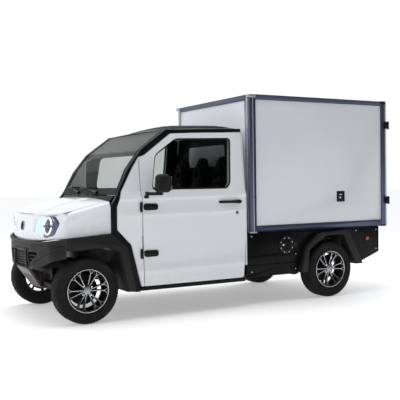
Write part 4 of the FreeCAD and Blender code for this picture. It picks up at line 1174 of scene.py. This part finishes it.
post = outline_prism("post", post_section(), lambda x, y: (x, y, 0.661), (0, 0, 1.226))
both_sides("front_post_shell", bevelled(post, 0.0008, 1, 60), "truck", "anodised", M["post_aluminium"],
           smooth=25)
groove = box_mesh("groove", (-0.1640, 0.6835, 0.665), (-0.1585, 0.6885, 1.885), bevel=0)
both_sides("post_groove", groove, "truck", "anodised", M["seal_black"])

for z, tag in ((0.652, "lower"), (1.862, "upper")):
    for x_low, x_high, end in ((-0.182, -0.110, "front"), (-1.736, -1.672, "rear")):
        height = 0.016 if tag == "lower" else 0.030
        cap = box_mesh("cap", (x_low, 0.630, z), (x_high, 0.6905, z + height), bevel=0.006)
        cap_material = M["post_aluminium" if end == "front" else "seal_black"]
        both_sides("corner_cap_%s_%s" % (tag, end), cap, "truck", "anodised", cap_material)
seal = bmesh.new()
for low, high in (((-1.680, 0.6775, 0.7125), (-0.172, 0.6795, 0.7165)),
                  ((-1.680, 0.6775, 1.8455), (-0.172, 0.6795, 1.8495)),
                  ((-1.680, 0.6775, 0.7125), (-1.6755, 0.6795, 1.8495)),
                  ((-0.1785, 0.6775, 0.7125), (-0.174, 0.6795, 1.8495))):
    seal.from_mesh(box_mesh("seal", low, high, bevel=0))
both_sides("panel_seal", finished_mesh(seal, "panel_seal"), "truck", "anodised", M["seal_black"])

latch_ring = bmesh.new()
for low, high in (((-1.206, 0.6745, 0.909), (-1.109, 0.6815, 0.9195)),
                  ((-1.206, 0.6745, 1.0005), (-1.109, 0.6815, 1.011)),
                  ((-1.206, 0.6745, 0.909), (-1.1955, 0.6815, 1.011)),
                  ((-1.1195, 0.6745, 0.909), (-1.109, 0.6815, 1.011))):
    latch_ring.from_mesh(box_mesh("side", low, high, bevel=0.0018, segments=2))
add_object("latch_frame", finished_mesh(latch_ring, "latch_frame"), "truck", "anodised", M["seal_black"], 30)
add_object("latch_key", drum("key", (-1.150, 0.6785, 0.952), (0, 1, 0), 0.010, 0.006), "side_latch",
           "black_steel", M["alloy"], 40)
add_object("latch_lip", box_mesh("lip", (-1.178, 0.6755, 0.975), (-1.137, 0.6800, 0.983), bevel=0.0015),
           "side_latch", "black_steel", M["alloy"], 40)

CARGO_HINGE_LEVELS = (0.874, 1.618)
for level in CARGO_HINGE_LEVELS:
    for hand, side in (("left", 1), ("right", -1)):
        tag = "%d_%s" % (round(level * 1000), hand)
        knuckle = drum("knuckle", (-1.758, 0.699 * side, level + 0.036), (0, 0, 1), 0.0105, 0.078)
        add_object("box_hinge_pin_" + tag, knuckle, "truck", "black_steel", smooth=40)
        low = (-1.7585, 0.686 if side > 0 else -0.705, level + 0.002)
        high = (-1.7225, 0.705 if side > 0 else -0.686, level + 0.070)
        add_object("box_hinge_leaf_" + tag, box_mesh("leaf", low, high, bevel=0.003), "truck", "black_steel")

# ------------------------------------------------------------------ lower body

COVER = Vector((-0.531, 0.0, 0.524))
bolts = bmesh.new()
for k in range(8):
    a = math.pi * (k + 0.5) / 4
    place = COVER + Vector((0.069 * math.cos(a), 0.6515, 0.069 * math.sin(a)))
    turn = Matrix.Rotation(-math.pi / 2, 4, "X")
    bmesh.ops.create_cone(bolts, cap_ends=True, segments=10, radius1=0.0048, radius2=0.004, depth=0.004,
                          matrix=Matrix.Translation(place) @ turn)
add_object("cover_bolts", finished_mesh(bolts, "bolts"), "charge_cover", "black_gloss", M["alloy"], 30)
bm = bmesh.new()
cover_turn = Matrix.Translation(COVER + Vector((0, 0.6512, 0))) @ Matrix.Rotation(-math.pi / 2, 4, "X")
turned(bm, cover_turn, [(0.056, -0.001), (0.056, 0.0010), (0.052, 0.0030), (0.040, 0.0036), (0.010, 0.0042)])
add_object("cover_dome", finished_mesh(bm, "dome"), "charge_cover", "black_gloss", smooth=30)
add_object("cover_key", drum("key", (-0.492, 0.6545, 0.530), (0, 1, 0), 0.009, 0.006), "charge_cover",
           "black_gloss", M["alloy"], 40)
screws = bmesh.new()
for x, z in ((-0.600, 0.436), (-0.622, 0.436), (-0.644, 0.437), (-0.150, 0.62), (-0.150, 0.30), (-0.64, 0.30),
             (-1.38, 0.62), (-1.64, 0.62), (-1.64, 0.43)):
    bmesh.ops.create_uvsphere(screws, u_segments=10, v_segments=6, radius=0.0065,
                              matrix=Matrix.Translation((x, 0.641, z)) @ Matrix.Scale(0.4, 4, (0, 1, 0)))
both_sides("bed_screws", finished_mesh(screws, "screws"), "truck", "black_gloss", M["alloy"], 60)
both_sides("marker_rim", drum("rim", (-1.517, 0.6425, 0.538), (0, 1, 0), 0.025, 0.005, 0.0015), "truck",
           "black_gloss", smooth=40)
both_sides("marker_lens", drum("lens", (-1.517, 0.6500, 0.538), (0, 1, 0), 0.019, 0.008, 0.003), "truck",
           "lamp_red", M["marker_orange"], 40)
pressed = bmesh.new()
for low, high in (((-0.655, 0.6405, 0.444), (-0.105, 0.6460, 0.452)),
                  ((-0.655, 0.6405, 0.352), (-0.105, 0.6460, 0.358)),
                  ((-0.100, 0.6395, 0.256), (-0.092, 0.6450, 0.650)),
                  ((-1.672, 0.6395, 0.402), (-1.664, 0.6450, 0.650)),
                  ((-1.40, 0.6405, 0.570), (-1.20, 0.6440, 0.576))):
    pressed.from_mesh(box_mesh("fold", low, high, bevel=0.0015, segments=2))
both_sides("bed_folds", finished_mesh(pressed, "folds"), "truck", "black_gloss", smooth=40)

# Brake backing plates, seen through the wheels
for end, x, body in (("front", 1.415, "knuckle_left"), ("rear", -1.040, "truck")):
    bm = bmesh.new()
    turn = Matrix.Translation((x, 0.536, 0.266)) @ Matrix.Rotation(-math.pi / 2, 4, "X")
    turned(bm, turn, [(0.124, -0.006), (0.124, 0.0), (0.110, 0.008), (0.104, 0.0095), (0.060, 0.0100),
                      (0.030, 0.012)],
           48)
    both_sides("brake_%s" % end, finished_mesh(bm, "brake"), body, "frame_black", smooth=35)

# ------------------------------------------------------------------ seats and cab interior

SEAT_PITCH = 0.375
BACK_LEVELS = [(0.690, 0.158), (0.76, 0.162), (0.86, 0.164), (0.96, 0.164), (1.04, 0.161), (1.10, 0.148),
               (1.15, 0.130), (1.20, 0.112), (1.25, 0.096), (1.30, 0.083), (1.335, 0.068), (1.350, 0.046)]
BACK_FRONT = [(0.690, 0.128), (0.80, 0.112), (0.95, 0.080), (1.10, 0.040), (1.20, 0.022), (1.35, 0.004)]
BACK_REAR = [(0.690, 0.052), (0.90, 0.010), (1.10, -0.052), (1.35, -0.052)]
CUSHION_TOP = 0.672
SIM_FRAMES = 20
SIM_PRESSURE = 4.0
SIM_LIMIT = 0.022
SEAM_DEPTH = 0.006
TOP_SHRINK = 0.72
PAD_FOOT_Z = 0.597


def lofted_pad(name, sections):
    """Closed pad through rings of points."""
    bm = bmesh.new()
    rows = [[bm.verts.new(point) for point in ring] for ring in sections]
    bridged(bm, rows)
    capped(bm, rows)
    return finished_mesh(bm, name)


def squircle(half_a, half_b, power=3.4, steps=28):
    """Points of a rounded rectangle about the middle."""
    ring = []
    for k in range(steps):
        a = 2 * math.pi * k / steps
        ca, sa = math.cos(a), math.sin(a)
        ring.append((half_a * math.copysign(abs(ca) ** (2 / power), ca),
                     half_b * math.copysign(abs(sa) ** (2 / power), sa)))
    return ring


def seat_back_mesh():
    sections = []
    for z, half in BACK_LEVELS:
        front, rear = between(BACK_FRONT, z), between(BACK_REAR, z)
        shrink = TOP_SHRINK if z == BACK_LEVELS[-1][0] else 1.0
        half_x = (front - rear) / 2 * shrink
        middle = (front + rear) / 2
        sections.append([(middle + a, b, z) for a, b in squircle(half_x, half)])
    return lofted_pad("back", sections)


def cushion_mesh():
    sections = []
    for x, top, half in ((0.066, 0.650, 0.150), (0.078, 0.664, 0.162), (0.16, CUSHION_TOP, 0.166),
                         (0.28, CUSHION_TOP + 0.004, 0.166), (0.40, CUSHION_TOP + 0.008, 0.166),
                         (0.47, CUSHION_TOP + 0.008, 0.164), (0.498, 0.664, 0.156), (0.508, 0.640, 0.140)):
        sections.append([(x, b, (top + PAD_FOOT_Z) / 2 + a)
                         for a, b in squircle((top - PAD_FOOT_Z) / 2, half, 4.0)])
    return lofted_pad("cushion", sections)


def plumped(mesh, voxel=0.006):
    """Fills a pad with air for a few frames, so that its faces swell as foam and cloth do."""
    mesh = modified(mesh, ("REMESH", dict(mode="VOXEL", voxel_size=voxel)))
    rest = [vert.co.copy() for vert in mesh.vertices]
    obj = bpy.data.objects.new("pad", mesh)
    scene.collection.objects.link(obj)
    cloth_modifier = obj.modifiers.new("cloth", "CLOTH")
    settings = cloth_modifier.settings
    settings.quality = 4
    settings.use_pressure = True
    settings.uniform_pressure_force = SIM_PRESSURE
    settings.tension_stiffness = 40
    settings.compression_stiffness = 40
    settings.effector_weights.gravity = 0
    cloth_modifier.point_cache.frame_start = 1
    cloth_modifier.point_cache.frame_end = SIM_FRAMES
    for frame_number in range(1, SIM_FRAMES + 1):
        scene.frame_set(frame_number)
    result = baked(obj)
    bpy.data.objects.remove(obj)
    scene.frame_set(1)
    for vert, start in zip(result.vertices, rest):
        move = vert.co - start
        if move.length > SIM_LIMIT:
            vert.co = start + move.normalized() * SIM_LIMIT
    return result


def seamed(mesh, grooves):
    """Presses stitched seams into a pad; each groove is (distance function, half width)."""
    for vert in mesh.vertices:
        for distance, half in grooves:
            d = abs(distance(vert.co))
            if d < half:
                vert.co -= vert.normal * SEAM_DEPTH * (1 - (d / half) ** 2)
    return mesh


def seat_panel_edge(co):
    """Distance from the seam between a back's middle and its bolsters."""
    return abs(co.y) - between([(0.69, 0.098), (1.04, 0.098), (1.15, 0.080), (1.34, 0.048)], co.z)


back_grooves = [(seat_panel_edge, 0.010), (lambda co: co.z - 1.10, 0.009), (lambda co: co.z - 0.90, 0.008)]
cushion_grooves = [(lambda co: abs(co.y) - 0.102, 0.010), (lambda co: co.x - 0.30, 0.008)]
head_hole = outline_prism("hole", rounded([(-0.034, 1.158), (0.034, 1.158), (0.026, 1.222),
                                           (-0.026, 1.222)], 0.022),
                          lambda y, z: (-0.12, y, z), (0.30, 0, 0))
back_pad = carved(seamed(plumped(seat_back_mesh()), back_grooves), head_hole)
cushion_pad = seamed(plumped(cushion_mesh()), cushion_grooves)
for step, tag in ((-1, "right"), (0, "middle"), (1, "left")):
    for kind, source, node in (("back", back_pad, "seat_backs"), ("cushion", cushion_pad, "seat_cushions")):
        mesh = source.copy()
        mesh.transform(Matrix.Translation((0, step * SEAT_PITCH, 0)))
        pad = add_object("seat_%s_%s" % (kind, tag), mesh, "truck", "seat_cloth", smooth=60)
        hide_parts(node)

BELT_Y = 0.545
BELT_HALF_WIDTH = Vector((0, 0.022, 0))
BELT_THICKNESS = Vector((0.0015, 0, 0))
BELT_RUNS = (((-0.054, 1.40), (0.03, 1.02)), ((0.03, 1.02), (0.16, 0.70)))
belts = bmesh.new()
for y in (BELT_Y, -BELT_Y):
    for (x0, z0), (x1, z1) in BELT_RUNS:
        top, foot = Vector((x0, y, z0)), Vector((x1, y, z1))
        front = [belts.verts.new(p) for p in (top - BELT_HALF_WIDTH, top + BELT_HALF_WIDTH,
                                              foot + BELT_HALF_WIDTH, foot - BELT_HALF_WIDTH)]
        rear = [belts.verts.new(v.co + BELT_THICKNESS) for v in front]
        bridged(belts, [front, rear])
        capped(belts, [front, rear])
add_object("seat_belts", finished_mesh(belts, "belts"), "truck", "seat_cloth", smooth=0)

# Near-black sheet behind the top of the windscreen and under the roof front: painted shade that darkens a
# band across the glass and the inside of the cab
painted_shade_band_path = [(0.955, 1.352), (0.920, 1.384), (0.800, 1.4715), (0.690, 1.550), (0.640, 1.553)]
columns = []
for k in range(13):
    share = -1 + k / 6
    columns.append([(x - 0.012, share * (side_y(z) - 0.049), z - 0.010 + 0.004 * (1 - share * share))
                    for x, z in painted_shade_band_path])
painted_shade_band = modified(grid_mesh("painted_shade_band", columns), ("SOLIDIFY", dict(thickness=0.003, offset=0)))
add_object("windscreen_painted_shade_band", painted_shade_band, "truck", "roof_black", smooth=40)
VISOR_HALF_WIDTH = 0.150
for y, hand in ((0.29, "left"), (-0.29, "right")):
    low_y, high_y = y - VISOR_HALF_WIDTH, y + VISOR_HALF_WIDTH
    visor = outline_prism("visor", rounded([(0.800, low_y), (0.800, high_y), (0.655, high_y), (0.655, low_y)],
                                           0.02), lambda x, v: (x, v, 1.440 - (x - 0.655) * 0.45),
                          (0, 0, 0.012))
    add_object("sun_visor_" + hand, bevelled(visor, 0.004), "truck", "charcoal")

# Black border printed on the windscreen
SCREEN_LINE = [(1.160, 1.020), (1.055, 1.225), (0.925, 1.390), (0.690, 1.562)]
BORDER_WIDTH = 0.026
frit = bmesh.new()
for side in (1, -1):
    for (x0, z0), (x1, z1) in zip(SCREEN_LINE, SCREEN_LINE[1:]):
        edge0, edge1 = side_y(z0) - 0.044, side_y(z1) - 0.044
        quad = [frit.verts.new(p) for p in ((x0 + 0.001, edge0 * side, z0 + 0.0015),
                                            (x1 + 0.001, edge1 * side, z1 + 0.0015),
                                            (x1 + 0.001, (edge1 - BORDER_WIDTH) * side, z1 + 0.0015),
                                            (x0 + 0.001, (edge0 - BORDER_WIDTH) * side, z0 + 0.0015))]
        frit.faces.new(quad)
lower = [frit.verts.new(p) for p in ((1.161, 0.610, 1.0225), (1.161, -0.610, 1.0225), (1.136, -0.606, 1.072),
                                     (1.136, 0.606, 1.072))]
frit.faces.new(lower)
frit_mesh = modified(finished_mesh(frit, "frit"), ("SOLIDIFY", dict(thickness=0.0012, offset=0)))
add_object("windscreen_border", frit_mesh, "truck", "charcoal", M["seal_black"], smooth=0)

# Raised ribs along the roof
ROOF_EDGE = [(-0.060, 1.584), (0.150, 1.578), (0.420, 1.571), (0.600, 1.566), (0.692, 1.561)]
ROOF_HALF_WIDTH = 0.571
ROOF_CROWN = [(-0.060, 1.640), (0.150, 1.636), (0.420, 1.628), (0.600, 1.592), (0.692, 1.568)]


def roof_height(x, y):
    edge, crown = between(ROOF_EDGE, x), between(ROOF_CROWN, x)
    share = abs(y) / ROOF_HALF_WIDTH
    return crown - (crown - edge) * share * share


ROOF_RIB_PLACES = [-0.42 + 0.12 * k for k in range(8)]
ROOF_RIB_HALF_WIDTH = 0.030
ROOF_RIB_HEIGHT = 0.011
ROOF_RIB_STEPS = 18
ROOF_RIB_SECTION = ((-1, 0), (-0.7, 0.75), (-0.4, 1), (0.4, 1), (0.7, 0.75), (1, 0), (0, -0.1))
roof_ribs = bmesh.new()
for y in ROOF_RIB_PLACES:
    rows = []
    for k in range(ROOF_RIB_STEPS + 1):
        x = -0.045 + 0.655 * k / ROOF_RIB_STEPS
        swell = ROOF_RIB_HEIGHT * min(1.0, 6 * (1 - abs(2 * k / ROOF_RIB_STEPS - 1))) + 0.0006
        base = roof_height(x, y) - 0.001
        rows.append([roof_ribs.verts.new((x, y + ROOF_RIB_HALF_WIDTH * a, base + swell * b))
                     for a, b in ROOF_RIB_SECTION])
    bridged(roof_ribs, rows)
    capped(roof_ribs, rows)
add_object("roof_ribs", finished_mesh(roof_ribs, "roof_ribs"), "truck", "roof_black", smooth=35)

# Rubber bead in the shut line between the quarter panel and the door
SHUT_LINE = [(0.9365, 0.285), (0.9420, 0.640), (0.9480, 1.000), (0.9488, 1.050), (0.9528, 1.300)]
BEAD_WIDTH = 0.0075
BEAD_PROUD = 0.0011
bead_columns = [[(x, side_y(z) + BEAD_PROUD, z), (x + BEAD_WIDTH, side_y(z) + BEAD_PROUD, z)] for x,
                z in SHUT_LINE]
bead = modified(grid_mesh("bead", bead_columns), ("SOLIDIFY", dict(thickness=0.0024, offset=0)))
both_sides("shut_line_bead", bead, "truck", "charcoal", M["seal_black"])

# Black lip along the top of the bumper, climbing to meet the flares
LIP_PLAN = [(1.7720, 0.0), (1.7700, 0.14), (1.7590, 0.28), (1.7340, 0.42), (1.7120, 0.50), (1.6930, 0.555),
            (1.6670, 0.603), (1.6320, 0.645), (1.6020, 0.676), (1.5900, 0.689)]
LIP_TOP = [(0.0, 0.6535), (0.42, 0.6560), (0.52, 0.6620), (0.60, 0.6730), (0.66, 0.6830), (0.70, 0.6850)]
LIP_DEPTH = 0.020
lip_columns = []
for x, y in [(x, -y) for x, y in reversed(LIP_PLAN[1:])] + LIP_PLAN:
    top = between(LIP_TOP, abs(y))
    lip_columns.append([(x - 0.002, y, 0.640), (x + 0.001, y, top - 0.006),
                        (x - 0.004, y * 0.996, top), (x - LIP_DEPTH, y * 0.97, top + 0.001)])
lip = modified(grid_mesh("lip", lip_columns), ("SOLIDIFY", dict(thickness=0.003, offset=0)))
add_object("bumper_lip", lip, "truck", "charcoal", smooth=35)

# Black sheet in front of the cab's rear wall, open at the rear window: painted shade that darkens the inside
# of the cab
SHADE_SHEET_X = -0.0635
SHADE_SHEET_SETBACK = 0.064
shade_sheet_edge = [(side_y(z) - SHADE_SHEET_SETBACK, z) for z in (0.45, 1.00, 1.05, 1.545)]
# lining here is the black sheet of painted shade, not a trim of the real cab
lining = outline_prism("lining", shade_sheet_edge + [(-y, z) for y, z in reversed(shade_sheet_edge)],
                       lambda y, z: (SHADE_SHEET_X, y, z), (0.003, 0, 0))
rear_window_hole = outline_prism("hole", rounded([(-0.352, 1.262), (0.352, 1.262), (0.338, 1.458),
                                                  (-0.338, 1.458)],
                                                 0.03), lambda y, z: (SHADE_SHEET_X - 0.01, y, z), (0.03, 0, 0))
add_object("rear_wall_painted_shade", carved(lining, rear_window_hole), "truck", "charcoal", smooth=0)

# Grey strip just proud of the fascia: a painted shadow line under the hood's front edge
SHADOW_LINE_Z = 0.8715
SHADOW_LINE_HALF = 0.0020
SHADOW_LINE_PROUD = 0.0009
SHADOW_LINE_REACH = 0.560
SHADOW_LINE_STEPS = 48
shadow_line_columns = []
for k in range(SHADOW_LINE_STEPS + 1):
    y = SHADOW_LINE_REACH * (2 * k / SHADOW_LINE_STEPS - 1)
    shadow_line_columns.append([(fascia_x(y, z) + SHADOW_LINE_PROUD, y, z) for z in (SHADOW_LINE_Z - SHADOW_LINE_HALF,
                                                                         SHADOW_LINE_Z + SHADOW_LINE_HALF)])
joint = modified(grid_mesh("joint", shadow_line_columns), ("SOLIDIFY", dict(thickness=0.0016, offset=0)))
add_object("hood_painted_shadow_line", joint, "truck", "white_plastic", M["painted_shadow_grey"], 40)

# Posts beside the bumper mesh and a ledge over it
for name, outline, low, deep in (
        ("bumper_post", [(0.140, 0.580), (0.164, 0.580), (0.190, 0.432), (0.164, 0.432)], 1.7560, 0.0150),
        ("bumper_ledge", [(0.0, 0.578), (0.196, 0.578), (0.196, 0.592), (0.0, 0.592)], 1.7600, 0.0120)):
    post_mesh = outline_prism(name, outline, lambda y, z: (low, y, z), (deep, 0, 0))
    both_sides(name, bevelled(post_mesh, 0.003, 2, 40), "truck", "charcoal", smooth=40)

# ------------------------------------------------------------------ floor

FLOOR_SIZE = 60
FLOOR_GLOW = 0.36
floor_mesh = bpy.data.meshes.new("floor")
bm = bmesh.new()
bmesh.ops.create_grid(bm, x_segments=2, y_segments=2, size=FLOOR_SIZE)
bm.to_mesh(floor_mesh)
bm.free()
floor = bpy.data.objects.new("floor", floor_mesh)
scene.collection.objects.link(floor)
floor_shader = Shader("floor_pale", rough=0.9)
floor_shader.colour(floor_shader.mix(floor_shader.ramp(floor_shader.noise(0.7, 4.0), 0.3, 0.7),
                                     (0.90, 0.90, 0.90), (0.88, 0.88, 0.885)))
floor_shader.main.inputs["Emission Color"].default_value = (1, 1, 1, 1)
floor_shader.main.inputs["Emission Strength"].default_value = FLOOR_GLOW
floor_mesh.materials.append(floor_shader.material)
